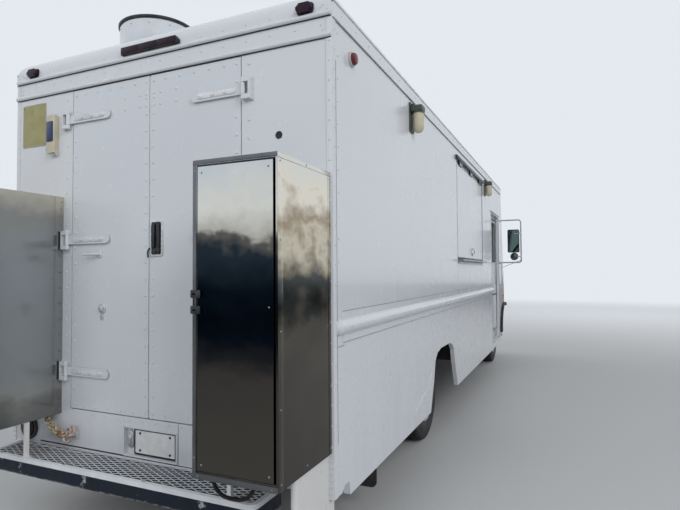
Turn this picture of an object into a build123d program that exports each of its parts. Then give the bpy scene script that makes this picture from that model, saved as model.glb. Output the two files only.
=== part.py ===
from build123d import *
import math
import os

os.makedirs("parts", exist_ok=True)

# Sizes are millimetres. X runs to the truck's right, Y forwards from the rear wall, Z up from the ground.

# Body shell
body_half = 1200
beyond = body_half + 100
wall = 40
skirt_z = 393
corner_z = 440
rear_wall_z = 456
eaves_z = 2855
roof_z = 3035
roof_edge_radius = 90
roof_rear_radius = 110
roof_front_y = 6885
cap_rail_z = 2941
cap_rail_proud = 11
floor_top_z = 700
floor_bottom_z = 640

# Cab front
cowl_y = 6620
cowl_z = 1560
rake_low_y = 7080
rake_high_y = 6860
nose_y = 7700
nose_bottom_z = 520
nose_top_z = 1180
hood_break_y = 7640
hood_break_z = 1330
front_sheet = 30
firewall_y = rake_low_y - wall - 20

# Clearances
fit = 0.05
seat = 0.3
door_gap = 5.5

# Axles and wheels
rear_axle_y = 2460
front_axle_y = 6980
tyre_radius = 386
front_tyre_x = 932.5
rear_outer_tyre_x = 922.5
rear_inner_tyre_x = 667.5
kingpin_x = 800
spindle_radius = 25
rear_spindle_radius = 40

# Rear doors and cabinets
door_half_span = 655
door_bottom_z = 705
door_top_z = 2755
rear_hinge_x = door_half_span + 21
rear_hinge_y = -20
right_cabinet_inner_x = 752
left_cabinet_inner_x = 735
cabinet_outer_x = 1187
cabinet_depth = 515
cabinet_bottom_z = 668
cabinet_top_z = 2064
cabinet_pivot_x = cabinet_outer_x - 31
cabinet_pivot_y = 11 - cabinet_depth

# Serving hatch, cab doors
hatch_rear_y = 3130
hatch_front_y = 4785
hatch_bottom_z = 1710
hatch_top_z = 2730
hatch_hinge_x = body_half + 11
hatch_hinge_z = hatch_top_z + 9
cab_door_rear_y = 5660
cab_door_front_y = 6500
cab_door_bottom_z = 500
cab_door_top_z = 2430
sliding_outer_x = body_half - wall - 8
sliding_inner_x = sliding_outer_x - 36

# Furthest points to the rear and the front, which centre the frame
bumper_front_y = 7830
rearmost_y = -cabinet_depth - 15
middle_y = (bumper_front_y + rearmost_y) / 2


def save(name, shape):
    export_step(Pos(0, -middle_y, 0) * shape, "parts/" + name + ".step")


def block(x0, x1, y0, y1, z0, z1):
    return Pos((x0 + x1) / 2, (y0 + y1) / 2, (z0 + z1) / 2) * Box(x1 - x0, y1 - y0, z1 - z0)


def rod(axis, radius, start, end, u, v):
    """A cylinder along an axis; u and v are its place on the other two axes, in X, Y, Z order."""
    mid = (start + end) / 2
    if axis == "x":
        return Pos(mid, u, v) * Rot(0, 90, 0) * Cylinder(radius, end - start)
    if axis == "y":
        return Pos(u, mid, v) * Rot(90, 0, 0) * Cylinder(radius, end - start)
    return Pos(u, v, mid) * Cylinder(radius, end - start)


def prism_x(points, x0, x1):
    outline = Polyline(*[(x0, y, z) for y, z in points], close=True)
    return extrude(make_face(outline), x1 - x0, dir=(1, 0, 0))


def prism_z(points, z0, z1):
    outline = Polyline(*[(x, y, z0) for x, y in points], close=True)
    return extrude(make_face(outline), z1 - z0, dir=(0, 0, 1))


def mirrored(shape):
    return mirror(shape, about=Plane.YZ)


def both(shape):
    return Compound(children=[*shape.solids(), *mirrored(shape).solids()])


def group(*shapes):
    return Compound(children=[solid for shape in shapes for solid in shape.solids()])


def slope(y):
    """Height of the hood's outer face."""
    return cowl_z - (y - rake_low_y) * (cowl_z - hood_break_z) / (hood_break_y - rake_low_y)


def hinge(axis, middle, u, v, barrel, pin, leaf, knuckle):
    """The turning barrel, and the two fixed knuckles with their pin."""
    half = leaf / 2
    turning = rod(axis, barrel, middle - half, middle + half, u, v)
    turning -= rod(axis, pin + fit, middle - half - 1, middle + half + 1, u, v)
    fixed = rod(axis, pin, middle - half - knuckle, middle + half + knuckle, u, v)
    fixed += rod(axis, barrel, middle - half - knuckle, middle - half - 1, u, v)
    fixed += rod(axis, barrel, middle + half + 1, middle + half + knuckle, u, v)
    return turning, fixed


# Wheel arches

def rear_arch(x0, x1):
    side = [(-575, 300), (-560, 393), (-435, 640), (-385, 790), (-300, 850), (-170, 872)]
    left = [(rear_axle_y + 18 + y, z) for y, z in side]
    right = [(rear_axle_y + 18 - y, z) for y, z in reversed(side)]
    return prism_x(left + right, x0, x1)


def front_arch(x0, x1, grow=0):
    radius = 420 + grow
    arch = rod("x", radius, x0, x1, front_axle_y, 580)
    arch += block(x0, x1, front_axle_y - radius, front_axle_y + radius, 100, 580)
    return arch


# Side walls, each with the cab doorway, the rear arch, the rub rail and the sliding door's track inside.
# The right one has the hatch.

def side_wall(has_hatch):
    outline = [
        (wall, corner_z), (95, corner_z), (130, 467), (190, 467), (200, skirt_z), (cowl_y, skirt_z),
        (cowl_y, cowl_z), (rake_low_y - wall, cowl_z), (rake_high_y - wall, eaves_z), (wall, eaves_z),
    ]
    panel = prism_x(outline, body_half - wall, body_half)
    panel -= rear_arch(body_half - wall - 5, body_half + 5)
    panel -= front_arch(body_half - wall - 5, body_half + 5)
    panel -= block(body_half - 60, body_half + 20, cab_door_rear_y, cab_door_front_y,
                   cab_door_bottom_z, cab_door_top_z)
    panel += block(body_half, body_half + 3, 110, 5620, 1200, 1360)
    rail = rod("y", 40, 60, 5620, body_half - 6, 1280)
    rail &= block(body_half, body_half + 60, 60, 5620, 1200, 1400)
    rail_tip = Pos(body_half - 6, 60, 1280) * Sphere(40)
    rail_tip &= block(body_half, body_half + 60, 0, 60, 1200, 1400)
    panel += rail
    panel += rail_tip
    if has_hatch:
        panel -= block(body_half - 60, body_half + 60, hatch_rear_y - door_gap, hatch_front_y + door_gap,
                       hatch_bottom_z - door_gap, hatch_top_z + door_gap)
    track = block(sliding_inner_x - 8, body_half - wall - seat, 4860, 6520, 2482, 2520)
    track -= block(sliding_inner_x - 4, sliding_outer_x + 4, 4800, 6600, 2470, 2516)
    return group(panel, track)


save("right_side_wall", side_wall(True))
save("left_side_wall", mirrored(side_wall(False)))

# Rear wall with the doorway, the plate recess and the lower moulding

rear_wall = block(-body_half, body_half, 0, wall, rear_wall_z, eaves_z)
rear_wall -= block(-door_half_span, door_half_span, -5, wall + 5, door_bottom_z, door_top_z)
rear_wall -= block(-190, 205, -5, 22, 484, 640)
rear_wall += rod("x", 15, -body_half, body_half, 0, 2770) & block(-beyond, beyond, -40, 0, 2700, 2900)
strap_tip_x = 345
rear_door_solids = []
for height in (945, 1780, 2562):
    turning, fixed = hinge("z", height, rear_hinge_x, rear_hinge_y, 12, 6, 66, 26)
    bracket = fixed
    for low, high in ((height - 59, height - 34), (height + 34, height + 59)):
        bracket += block(rear_hinge_x, rear_hinge_x + 48, -31, 0, low, high)
    bracket += block(rear_hinge_x + 38, rear_hinge_x + 48, -31, 0, height - 59, height + 59)
    bracket += block(rear_hinge_x + 40, rear_hinge_x + 58, -5, 0, height - 66, height + 66)
    rear_wall += bracket
    rear_wall += mirrored(bracket)
    strap = block(strap_tip_x, rear_hinge_x - 9, -14, -6, height - 28, height + 28)
    strap += rod("y", 28, -14, -6, strap_tip_x, height)
    strap += block(strap_tip_x, door_half_span - 10, -7, 0.5, height - 22, height + 22)
    rear_door_solids.append((strap + turning) - rod("z", 6 + fit, height - 40, height + 40,
                                                    rear_hinge_x, rear_hinge_y))
save("rear_wall", rear_wall)

# Roof with the header over the doors, its moulding and the cap rails

roof = block(-body_half, body_half, 0, roof_front_y, eaves_z, roof_z)
side_edges = roof.edges().filter_by(Axis.Y).group_by(Axis.Z)[-1]
roof = fillet(side_edges, roof_edge_radius)
cavity = block(-body_half + wall, body_half - wall, wall, roof_front_y - wall, eaves_z - 50, roof_z - wall)
cavity = fillet(cavity.edges().filter_by(Axis.Y).group_by(Axis.Z)[-1], roof_edge_radius - wall)
corner = block(-beyond, beyond, -1, roof_rear_radius, roof_z - roof_rear_radius, roof_z + 1)
corner -= rod("x", roof_rear_radius, -2 * beyond, 2 * beyond, roof_rear_radius, roof_z - roof_rear_radius)
brow = block(-beyond, beyond, roof_front_y - 120, roof_front_y + 1, roof_z - 120, roof_z + 1)
brow -= rod("x", 120, -2 * beyond, 2 * beyond, roof_front_y - 120, roof_z - 120)
roof = roof - cavity - corner - brow
roof += rod("x", 15, -body_half + 4, body_half - 4, 0, 2882) & block(-beyond, beyond, -40, 0, 2800, 2920)
for side in (-1, 1):
    edge = side * body_half
    proud = side * (body_half + cap_rail_proud)
    roof += block(min(edge, proud), max(edge, proud), 0, 6780, eaves_z + 2, cap_rail_z)
fan_x = -600
fan_y = 700
roof -= rod("z", 190, roof_z - 100, roof_z + 100, fan_x, fan_y)

# Riveted seams part the roof into its top sheet, the cants, the rails below them and the two ends
for y in (wall, roof_front_y - wall - seat):
    roof -= block(-beyond, beyond, y, y + seat, eaves_z - 60, roof_z + 5)
cant_x = body_half - roof_edge_radius
cant_z = roof_z - roof_edge_radius
seam = block(cant_x, cant_x + seat, wall, roof_front_y - wall, roof_z - wall - 5, roof_z + 5)
seam += block(body_half - wall - 5, beyond, wall, roof_front_y - wall, cant_z, cant_z + seat)
roof -= seam
roof -= mirrored(seam)
save("roof", group(roof))

# Windshield frame and panes, on the raked plane of the cab front

frame_profile = [
    (rake_low_y, cowl_z), (rake_high_y, eaves_z),
    (rake_high_y - wall, eaves_z), (rake_low_y - wall, cowl_z),
]
windshield_frame = prism_x(frame_profile, -body_half, body_half)
pane_profile = [
    (rake_low_y - 17, cowl_z), (rake_high_y - 17, eaves_z),
    (rake_high_y - 23, eaves_z), (rake_low_y - 23, cowl_z),
]
pane_inner_x = 35
pane_outer_x = body_half - 115
panes = []
for side in (-1, 1):
    opening = block(pane_inner_x, pane_outer_x, 6700, 7200, 1645, 2600)
    opening = fillet(opening.edges().filter_by(Axis.Y), 70)
    glass = block(pane_inner_x + seat, pane_outer_x - seat, 6700, 7200, 1645 + seat, 2600 - seat)
    glass = fillet(glass.edges().filter_by(Axis.Y), 70)
    if side < 0:
        opening = mirrored(opening)
        glass = mirrored(glass)
    windshield_frame -= opening
    panes.append(prism_x(pane_profile, -body_half, body_half) & glass)
save("windshield_frame", windshield_frame)
save("windshield", group(*panes))

# Cowl, fenders and nose, with openings for the hood, grille and lamps

plan_outer = [
    (body_half, 6620), (body_half, 7150), (body_half - 140, 7640), (body_half - 270, 7700),
]
plan_inner = [
    (body_half - 40, 6500), (body_half - 40, 7140), (body_half - 174, 7615), (body_half - 286, 7670),
]
side_outer = [
    (cowl_y, 393), (7400, 393), (7470, nose_bottom_z), (nose_y, nose_bottom_z), (nose_y, nose_top_z),
    (hood_break_y, hood_break_z), (rake_low_y, cowl_z), (cowl_y, cowl_z),
]
side_inner = [
    (6500, 300), (nose_y - front_sheet, 300), (nose_y - front_sheet, nose_top_z - 5),
    (hood_break_y - 18, hood_break_z - 26), (rake_low_y, cowl_z - front_sheet),
    (6500, cowl_z - front_sheet),
]


def plan(points, z0, z1, radius):
    body = prism_z(points + [(-x, y) for x, y in reversed(points)], z0, z1)
    return fillet(body.edges().filter_by(Axis.Z).group_by(Axis.Y)[1], radius)


nose_outer = plan(plan_outer, 300, 1700, 220) & prism_x(side_outer, -beyond, beyond)
nose_inner = plan(plan_inner, 200, 1600, 180) & prism_x(side_inner, -beyond, beyond)
hood_margin = [(-560, 7115), (560, 7115), (520, 7612), (-520, 7612)]
hood_outline = [(-553, 7122), (553, 7122), (513, 7605), (-513, 7605)]
nose = nose_outer - nose_inner
nose -= block(-body_half + wall, body_half - wall, 6000, rake_low_y - wall, 300, 1700)
nose -= prism_z(hood_margin, 1250, 1700)
nose -= front_arch(body_half - 160, body_half + 60)
nose -= front_arch(-body_half - 60, -body_half + 160)
grille_half = 430
nose -= block(-grille_half, grille_half, nose_y - 60, nose_y + 20, 740, 1110)
lamp_x = 640
lamp_z = 950
for side in (-1, 1):
    nose -= block(side * 397 - 45, side * 397 + 45, nose_y - 60, nose_y + 20, 400, 650)
    nose -= rod("y", 96, nose_y - 80, nose_y + 20, side * lamp_x, lamp_z)
firewall = block(-body_half + wall, body_half - wall, firewall_y, rake_low_y - wall, 890, cowl_z)
firewall -= block(-350, 350, 6900, 7100, 880, 1262)
nose += firewall
hinge_line_y = 7116
hinge_line_z = slope(hinge_line_y) + 9
hood = prism_z(hood_outline, 1250, 1700) & nose_outer
hood -= nose_inner
for place in (-400, 400):
    turning, fixed = hinge("x", place, hinge_line_y, hinge_line_z, 6, 3, 60, 30)
    tab = prism_x([(7112, hinge_line_z - 2), (7150, slope(7150) + 5), (7150, slope(7150) - 2),
                   (7124, slope(7124) - 2), (7116, hinge_line_z - 6)], place - 29, place + 29)
    hood += (tab + turning) - rod("x", 3 + fit, place - 31, place + 31, hinge_line_y, hinge_line_z)
    for end in (place - 45.5, place + 45.5):
        fixed += prism_x([(7085, slope(7085) - 2), (7085, slope(7085) + 5), (7112, hinge_line_z + 5),
                          (7118, hinge_line_z - 4), (7108, slope(7108) - 2)], end - 14, end + 14)
    nose += fixed
save("nose", nose)
save("hood", hood)

# Grille and headlamps seat in the nose

grille = block(-grille_half + seat, grille_half - seat, nose_y - 28, nose_y - 6, 740 + seat, 1110 - seat)
for row in range(7):
    low = 762 + row * 47
    grille -= block(-grille_half + 25, grille_half - 25, nose_y - 60, nose_y + 20, low, low + 32)
save("grille", grille)
headlamp = rod("y", 96 - seat, nose_y - 30, nose_y - 2, lamp_x, lamp_z)
lens = Pos(lamp_x, nose_y - 190, lamp_z) * Sphere(206)
headlamp += lens & rod("y", 96 - seat, nose_y - 10, nose_y + 60, lamp_x, lamp_z)
save("headlamps", both(headlamp))

# Ladder frame: channels, crossmembers, tow eyes and engine mounts, each seated on the next

frame_inner = 362
frame_outer = 432
frame_sheet = 8
rail_low = 500
rail_front_y = 7824
tow_eye_y = 7685
tow_eye_z = 462
web_x = frame_outer - frame_sheet - seat
rail = block(frame_inner, frame_outer, 150, rail_front_y, rail_low, floor_bottom_z)
rail -= block(frame_inner - 1, frame_outer - frame_sheet, 140, rail_front_y + 10, rail_low + frame_sheet,
              floor_bottom_z - frame_sheet)
tow_eye = block(388, 408, 7635, 7735, 425, rail_low - seat) - rod("x", 18, 380, 420, tow_eye_y, tow_eye_z)
engine_mount = block(300, web_x, 6700, 6780, 560, 600)
crossmembers = []
for y in (220, 1500, 3500, 4900, 6150, 7560):
    crossmembers.append(block(-web_x, web_x, y - 30, y + 30, 572, floor_bottom_z - frame_sheet - seat))
save("chassis", group(both(rail), both(tow_eye), both(engine_mount), *crossmembers))

# Floor: plates between the wheel boxes, step wells and sliding doors, and the risers over the front wheels

box_sheet = 15
box_top = 915
box_inner_x = 530
box_rear_y = rear_axle_y + 18 - 590
box_front_y = rear_axle_y + 18 + 590
well_rear_y = 5700
well_front_y = 6404.7
well_inner_x = 830
slot_rear_y = 4870
slot_front_y = 6540
slot_inner_x = sliding_inner_x - 10
riser_y = 6425
riser_top_z = 890
engine_gap_half = 350
engine_gap_y = 6160
inside = body_half - wall
plates = [
    # left X, right X, rear Y, front Y
    (-inside, inside, wall, box_rear_y),
    (-box_inner_x, box_inner_x, box_rear_y, box_front_y),
    (-inside, inside, box_front_y, slot_rear_y),
    (-slot_inner_x, slot_inner_x, slot_rear_y, well_rear_y),
    (-well_inner_x, well_inner_x, well_rear_y, engine_gap_y),
    (engine_gap_half, well_inner_x, engine_gap_y, riser_y - 20),
    (-well_inner_x, -engine_gap_half, engine_gap_y, riser_y - 20),
]
floor_solids = []
for left, right, rear, front in plates:
    floor_solids.append(block(left + seat, right - seat, rear, front - seat, floor_bottom_z, floor_top_z))
riser = block(engine_gap_half, slot_inner_x, riser_y - 20, riser_y, floor_bottom_z, riser_top_z - 20 - seat)
plate_low_z = riser_top_z - 20
riser_plate = block(engine_gap_half, slot_inner_x, riser_y - 20, firewall_y, plate_low_z, riser_top_z)
side_plate = block(slot_inner_x + seat, inside - seat, slot_front_y, firewall_y, plate_low_z, riser_top_z)
save("floor", group(*floor_solids, both(riser), both(riser_plate), both(side_plate)))
housing = block(box_inner_x, inside, box_rear_y, box_front_y - 2 * seat, floor_bottom_z, box_top)
housing -= block(box_inner_x + box_sheet, inside + 5, box_rear_y + box_sheet, box_front_y - box_sheet,
                 floor_bottom_z - 5, box_top - box_sheet)
well = block(well_inner_x, inside, well_rear_y, well_front_y, 440, 660)
well -= block(well_inner_x + 12, inside + 5, well_rear_y + 12, well_front_y - 12, 452, 720)
well -= block(slot_inner_x, inside + 5, slot_rear_y, slot_front_y, 468, 1000)
save("floor_boxes", group(both(housing), both(well)))

# Engine block, and the cover over it in the cab

save("engine", block(-300, 300, 6330, 7180, 470, 1150))
cover = block(-390, 390, 6120, firewall_y, floor_top_z, 1280)
cover = fillet(cover.edges().filter_by(Axis.Y).group_by(Axis.Z)[-1], 60)
cover = cover - block(-370, 370, 6140, 7100, 600, 1260)
cover -= block(-500, 500, riser_y - 20, 7100, 600, 890)
save("engine_cover", cover)

# Front bumper: a channel open to the rear, with a blank plate's four holes

bumper_half = 1100
front_bumper = block(-bumper_half, bumper_half, 7745, bumper_front_y, 470, 690)
front_bumper = fillet(front_bumper.edges().filter_by(Axis.Z).group_by(Axis.Y)[-1], 45)
front_bumper -= block(-bumper_half - 5, bumper_half + 5, 7740, bumper_front_y - 6, 477, 683)
plate_hole_x = 88.9
plate_hole_z = 60.325
plate_centre_z = 580
for x in (-plate_hole_x, plate_hole_x):
    for z in (-plate_hole_z, plate_hole_z):
        front_bumper -= rod("y", 3.5, bumper_front_y - 20, bumper_front_y + 5, x, plate_centre_z + z)
save("front_bumper", front_bumper)

# Rear doors with straps and barrels, hung on the rear wall's brackets

door = block(door_gap, door_half_span - door_gap, 0, wall, door_bottom_z + door_gap, door_top_z - door_gap)
for strap in rear_door_solids:
    door += strap
save("right_rear_door", door)
save("left_rear_door", mirrored(door))

# Cabinets on the rear wall, each with an inset door on two hidden pivots at its outer edge and two hasps

left_rim = 20
right_rim = 8
top_rim = 22
bottom_rim = 26
left_door_gap = 6
right_door_gap = 13
top_door_gap = 8
bottom_door_gap = 10
pivot_radius = 4
hasp_tops = (1489, 1419)
hasp_height = 35
hasp_sheet = 8


def cabinet_pair(inner_x):
    """The box and its door, with the doorway's edge on the truck's outer side turned to +X."""
    case = block(inner_x, cabinet_outer_x, -cabinet_depth, 0, cabinet_bottom_z, cabinet_top_z)
    case -= block(inner_x + left_rim, cabinet_outer_x - right_rim, -cabinet_depth - 5, -20,
                  cabinet_bottom_z + bottom_rim, cabinet_top_z - top_rim)
    door_low = cabinet_bottom_z + bottom_rim + bottom_door_gap
    door_high = cabinet_top_z - top_rim - top_door_gap
    leaf = block(inner_x + left_rim + left_door_gap, cabinet_outer_x - right_rim - right_door_gap,
                 -cabinet_depth, -cabinet_depth + 22, door_low, door_high)
    for low, high, hole_low, hole_high in (
            (door_low - 24, door_low + 20, cabinet_bottom_z - 1, door_low),
            (door_high - 20, door_high + 20, door_high, cabinet_top_z + 1)):
        leaf += rod("z", pivot_radius, low, high, cabinet_pivot_x, cabinet_pivot_y)
        case -= rod("z", pivot_radius + fit, hole_low, hole_high, cabinet_pivot_x, cabinet_pivot_y)
    door_left = inner_x + left_rim + left_door_gap
    face_y = -cabinet_depth
    for top in hasp_tops:
        low = top - hasp_height
        leaf += block(inner_x - 5, door_left + 22, face_y - hasp_sheet, face_y - seat, low, top)
        leaf += block(door_left, door_left + 22, face_y - hasp_sheet, face_y + 1, low, top)
        leaf += rod("y", 5, rearmost_y, face_y - hasp_sheet, inner_x + 15, top - hasp_height / 2)
    return case, leaf


right_case, right_leaf = cabinet_pair(right_cabinet_inner_x)
left_case, left_leaf = cabinet_pair(left_cabinet_inner_x)
save("cabinets", group(right_case, mirrored(left_case)))
save("right_cabinet_door", right_leaf)
save("left_cabinet_door", mirrored(left_leaf))

# Step bumper on two brackets, its grating, the cabinets' posts and the guard below the right cabinet

step_left = -1060
step_right = 900
step_rear_y = -258
step_front_y = -3
step_top_z = 466
grate = 8
step_middle_x = (step_left + step_right) / 2
step_middle_y = (step_rear_y + step_front_y) / 2
step_low_z = 366
step_shell = block(step_left, step_right, step_rear_y, step_front_y, step_low_z, step_top_z - grate)
step_shell = fillet(step_shell.edges().filter_by(Axis.Z).group_by(Axis.Y)[0], 40)
step_shell -= block(step_left + 8, step_right - 8, step_rear_y + 8, 5, step_low_z - 5, step_top_z)
step_bracket = prism_x([
    (step_rear_y + 8 + seat, 380), (149, 380), (149, floor_bottom_z), (60, floor_bottom_z), (60, 440),
    (step_rear_y + 8 + seat, 440),
], frame_inner, frame_outer)
save("rear_bumper", group(step_shell, both(step_bracket)))
step_width = step_right - step_left
step_outer = Pos(step_middle_x, step_middle_y) * Rectangle(step_width, step_front_y - step_rear_y)
step_outer = fillet(step_outer.vertices().group_by(Axis.Y)[0], 40)
mesh_pitch_x = 56
mesh_pitch_y = 14.5
diamond = make_face(Polyline((-23.8, 0), (0, -12.3), (23.8, 0), (0, 12.3), close=True))
holes = []
for row in range(-7, 8):
    for column in range(-17, 18):
        x = step_middle_x + (column + 0.5 * (row % 2)) * mesh_pitch_x
        if step_left + 50 < x < step_right - 50:
            holes.append(Pos(x, step_middle_y + row * mesh_pitch_y) * diamond)
save("step_grating", Pos(0, 0, step_top_z - grate) * extrude(step_outer - holes, grate))
post_rear_y = -246
post_front_y = -224
post_width = 22
posts = []
for inner_x in (738, 724):
    outer_x = inner_x + post_width
    post = block(inner_x, outer_x, post_rear_y, post_front_y, step_top_z, cabinet_bottom_z)
    post += block(outer_x, 790, post_rear_y, post_front_y, cabinet_bottom_z - 8, cabinet_bottom_z)
    posts.append(post)
right_post, left_post = posts
guard_inner_x = 1136
guard_outer_x = 1170
guard = block(guard_inner_x, guard_outer_x, -335, 60, 340, 436)
guard += block(guard_inner_x, guard_outer_x, -335, -seat, 340, cabinet_bottom_z - seat)
guard = fillet(guard.edges().filter_by(Axis.Z).group_by(Axis.Y)[0], 16)
save("cabinet_supports", group(guard, right_post, mirrored(left_post)))

# Serving hatch, hinged on its top edge, with the ledge below it

hatch = block(body_half - wall, body_half, hatch_rear_y, hatch_front_y, hatch_bottom_z, hatch_top_z)
strip_low_z = hatch_top_z + 21
hinge_strip = block(body_half, body_half + 4, hatch_rear_y, hatch_front_y, strip_low_z, eaves_z - 60)
for place in (hatch_rear_y + 180, (hatch_rear_y + hatch_front_y) / 2, hatch_front_y - 180):
    turning, fixed = hinge("y", place, hatch_hinge_x, hatch_hinge_z, 7, 3, 140, 40)
    leaf = block(hatch_hinge_x - 2, hatch_hinge_x + 2, place - 69, place + 69, 2700, hatch_hinge_z)
    leaf += block(body_half, hatch_hinge_x + 2, place - 69, place + 69, 2700, 2716)
    hatch += (leaf + turning) - rod("y", 3 + fit, place - 71, place + 71, hatch_hinge_x, hatch_hinge_z)
    for end in (place - 90.5, place + 90.5):
        fixed += block(body_half, hatch_hinge_x + 4, end - 19, end + 19, hatch_hinge_z + 2, hatch_top_z + 25)
    hinge_strip += fixed
save("serving_hatch", hatch)
ledge = block(body_half, body_half + 55, hatch_rear_y + 10, hatch_front_y - 10, 1672, 1684)
ledge += block(body_half, body_half + 6, hatch_rear_y + 10, hatch_front_y - 10, 1640, 1684)
save("hatch_frame", group(hinge_strip, ledge))

# Sliding cab doors inside the side walls, each hung from its track by two shoes

sliding_door = block(sliding_inner_x, sliding_outer_x, cab_door_rear_y - 20, cab_door_front_y + 20,
                     cab_door_bottom_z - 20, cab_door_top_z + 25)
window = block(sliding_inner_x - 10, beyond, 5900, 6390, 1720, 2310)
window = fillet(window.edges().filter_by(Axis.X), 45)
sliding_door -= window
for y in (5760, 6400):
    sliding_door += block(sliding_inner_x + 10, sliding_outer_x - 10, y - 40, y + 40, 2450, 2490)
    sliding_door += block(sliding_inner_x - 4 + seat, sliding_outer_x + 4 - seat, y - 50, y + 50,
                          2486, 2510)
save("right_cab_door", sliding_door)
save("left_cab_door", mirrored(sliding_door))
pane = block(sliding_inner_x + 15, sliding_inner_x + 21, 5900 + seat, 6390 - seat, 1720 + seat, 2310 - seat)
pane = fillet(pane.edges().filter_by(Axis.X), 45)
save("right_cab_door_glass", pane)
save("left_cab_door_glass", mirrored(pane))

# Exhaust fan on the roof

fan_points = [
    # radius, height above the roof
    (200, 0), (275, 0), (275, 60), (215, 75), (208, 120), (262, 280), (275, 300), (275, 385), (250, 397),
    (236, 397), (236, 384), (261, 372), (261, 306), (192, 122), (200, 70),
]
fan_outline = Polyline(*[(r, 0, z) for r, z in fan_points], close=True)
fan = revolve(make_face(fan_outline), Axis.Z, 360)
fan += rod("z", 90, 130, 260, 0, 0) + block(-248, 248, -8, 8, 260, 286) + block(-8, 8, -248, 248, 260, 286)
save("exhaust_fan", Pos(fan_x, fan_y, roof_z + seat) * fan)

# Lamps

clearance = [block(x - 43, x + 43, -22, 0, 2900, 2956) for x in (-1040, 1060)]
clearance.append(block(-220, 225, -20, 0, 2902, 2950))
side_lamp = rod("x", 36, body_half, body_half + 22, 250, 2730)
tail_lamp = rod("y", 58, -24, 0, 1035, 542)
save("red_lamps", group(*clearance, both(side_lamp), both(tail_lamp)))
flood = []
for y in (1420, 5070):
    lamp = block(body_half, body_half + 10, y - 55, y + 55, 2610, 2830)
    lamp += rod("z", 42, 2640, 2760, body_half + 58, y)
    lamp += Pos(body_half + 58, y, 2640) * Sphere(42)
    lamp += block(body_half + 8, body_half + 100, y - 50, y + 50, 2758, 2806)
    flood.append(lamp)
save("flood_lamps", group(*flood))

# Small box on the rear wall

small_box = fillet(block(-862, -790, -37, 0, 2358, 2606).edges().filter_by(Axis.Z).group_by(Axis.Y)[0], 8)
save("rear_box", small_box)

# Axles, knuckles and springs

front_axle = block(-kingpin_x + 20, kingpin_x - 20, front_axle_y - 38, front_axle_y + 38, 290, 360)
front_axle += rod("z", 34, 345, 427, kingpin_x, front_axle_y)
front_axle += rod("z", 34, 345, 427, -kingpin_x, front_axle_y)
for side in (-1, 1):
    low, high = sorted((side * 450, side * 520))
    front_axle += block(low, high, front_axle_y - 45, front_axle_y + 45, 350, 380.7)
    low, high = sorted((side * 700, side * 790))
    front_axle += block(low, high, front_axle_y - 30, front_axle_y + 30, 300, 427)
    front_axle -= rod("z", 14 + fit, 280, 440, side * kingpin_x, front_axle_y)
    front_axle -= rod("z", 80, 280, 344, side * kingpin_x, front_axle_y)
save("front_axle", front_axle)
knuckle = rod("z", 14, 315, 455, kingpin_x, front_axle_y)
knuckle += rod("z", 34, 432, 455, kingpin_x, front_axle_y) + rod("z", 34, 315, 339, kingpin_x, front_axle_y)
knuckle += block(kingpin_x, 870, front_axle_y - 34, front_axle_y + 34, 432, 455)
knuckle += block(kingpin_x, 870, front_axle_y - 34, front_axle_y + 34, 315, 339)
knuckle += block(842, 878, front_axle_y - 45, front_axle_y + 45, 315, 455)
knuckle += rod("x", spindle_radius, 870, 1060, front_axle_y, tyre_radius)
save("right_knuckle", knuckle)
save("left_knuckle", mirrored(knuckle))

rear_axle = rod("x", 45, -590, 590, rear_axle_y, tyre_radius)
rear_axle += rod("x", rear_spindle_radius, -900, 900, rear_axle_y, tyre_radius)
rear_axle += Pos(0, rear_axle_y, tyre_radius) * Sphere(150)
rear_axle += rod("y", 60, rear_axle_y, rear_axle_y + 220, 0, tyre_radius)
for side in (-1, 1):
    low, high = sorted((side * 462, side * 532))
    rear_axle += block(low, high, rear_axle_y - 45, rear_axle_y + 45, 380, 440.7)
save("rear_axle", rear_axle)


def spring(x0, x1, y, seat_z, end_z, half_length):
    rear = y - half_length
    front = y + half_length
    lower = ThreePointArc((x0, rear, end_z), (x0, y, seat_z), (x0, front, end_z))
    upper = ThreePointArc((x0, front, end_z + 12), (x0, y, seat_z + 48), (x0, rear, end_z + 12))
    front_end = Line((x0, front, end_z), (x0, front, end_z + 12))
    rear_end = Line((x0, rear, end_z + 12), (x0, rear, end_z))
    leaf = extrude(make_face([lower, front_end, upper, rear_end]), x1 - x0, dir=(1, 0, 0))
    for end in (rear, front):
        leaf += block(frame_outer, x1, end - 22, end + 22, end_z - 10, 620)
    return leaf


rear_spring = spring(462, 532, rear_axle_y, 441, 560, 700)
front_spring = spring(450, 520, front_axle_y - 40, 381, 520, 600)
save("leaf_springs", both(group(rear_spring, front_spring)))

# Drive shaft, exhaust, fuel tank, mud flaps

pinion_y = rear_axle_y + 220
engine_rear_y = 6330
shaft_rise = 134
shaft_tilt = math.degrees(math.atan2(shaft_rise, engine_rear_y - pinion_y))
drive_shaft = Rot(90 + shaft_tilt, 0, 0) * Cylinder(38, engine_rear_y - pinion_y + 40)
drive_shaft = Pos(0, (pinion_y + engine_rear_y) / 2, tyre_radius + shaft_rise / 2) * drive_shaft
drive_shaft &= block(-60, 60, pinion_y + seat, engine_rear_y - seat, 200, 800)
save("drive_shaft", drive_shaft)
silencer = rod("y", 95, 3650, 4550, 230, 440) + rod("y", 30, 3100, 6250, 230, 440)
silencer += rod("x", 30, 230, 900, 3100, 440) + Pos(230, 3100, 440) * Sphere(30)
for y in (3780, 5900):
    silencer += block(200, 260, y, y + 20, 440, floor_bottom_z)
save("exhaust_pipe", silencer)
tank = block(-900, -470, 4050, 5050, 370, 620)
tank = fillet(tank.edges().filter_by(Axis.Y), 50)
tank += block(-860, -frame_outer, 4200, 4240, 560, floor_bottom_z)
tank += block(-860, -frame_outer, 4860, 4900, 560, floor_bottom_z)
save("fuel_tank", tank)
flap = block(640, 1095, 880, 890, 150, floor_bottom_z)
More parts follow.
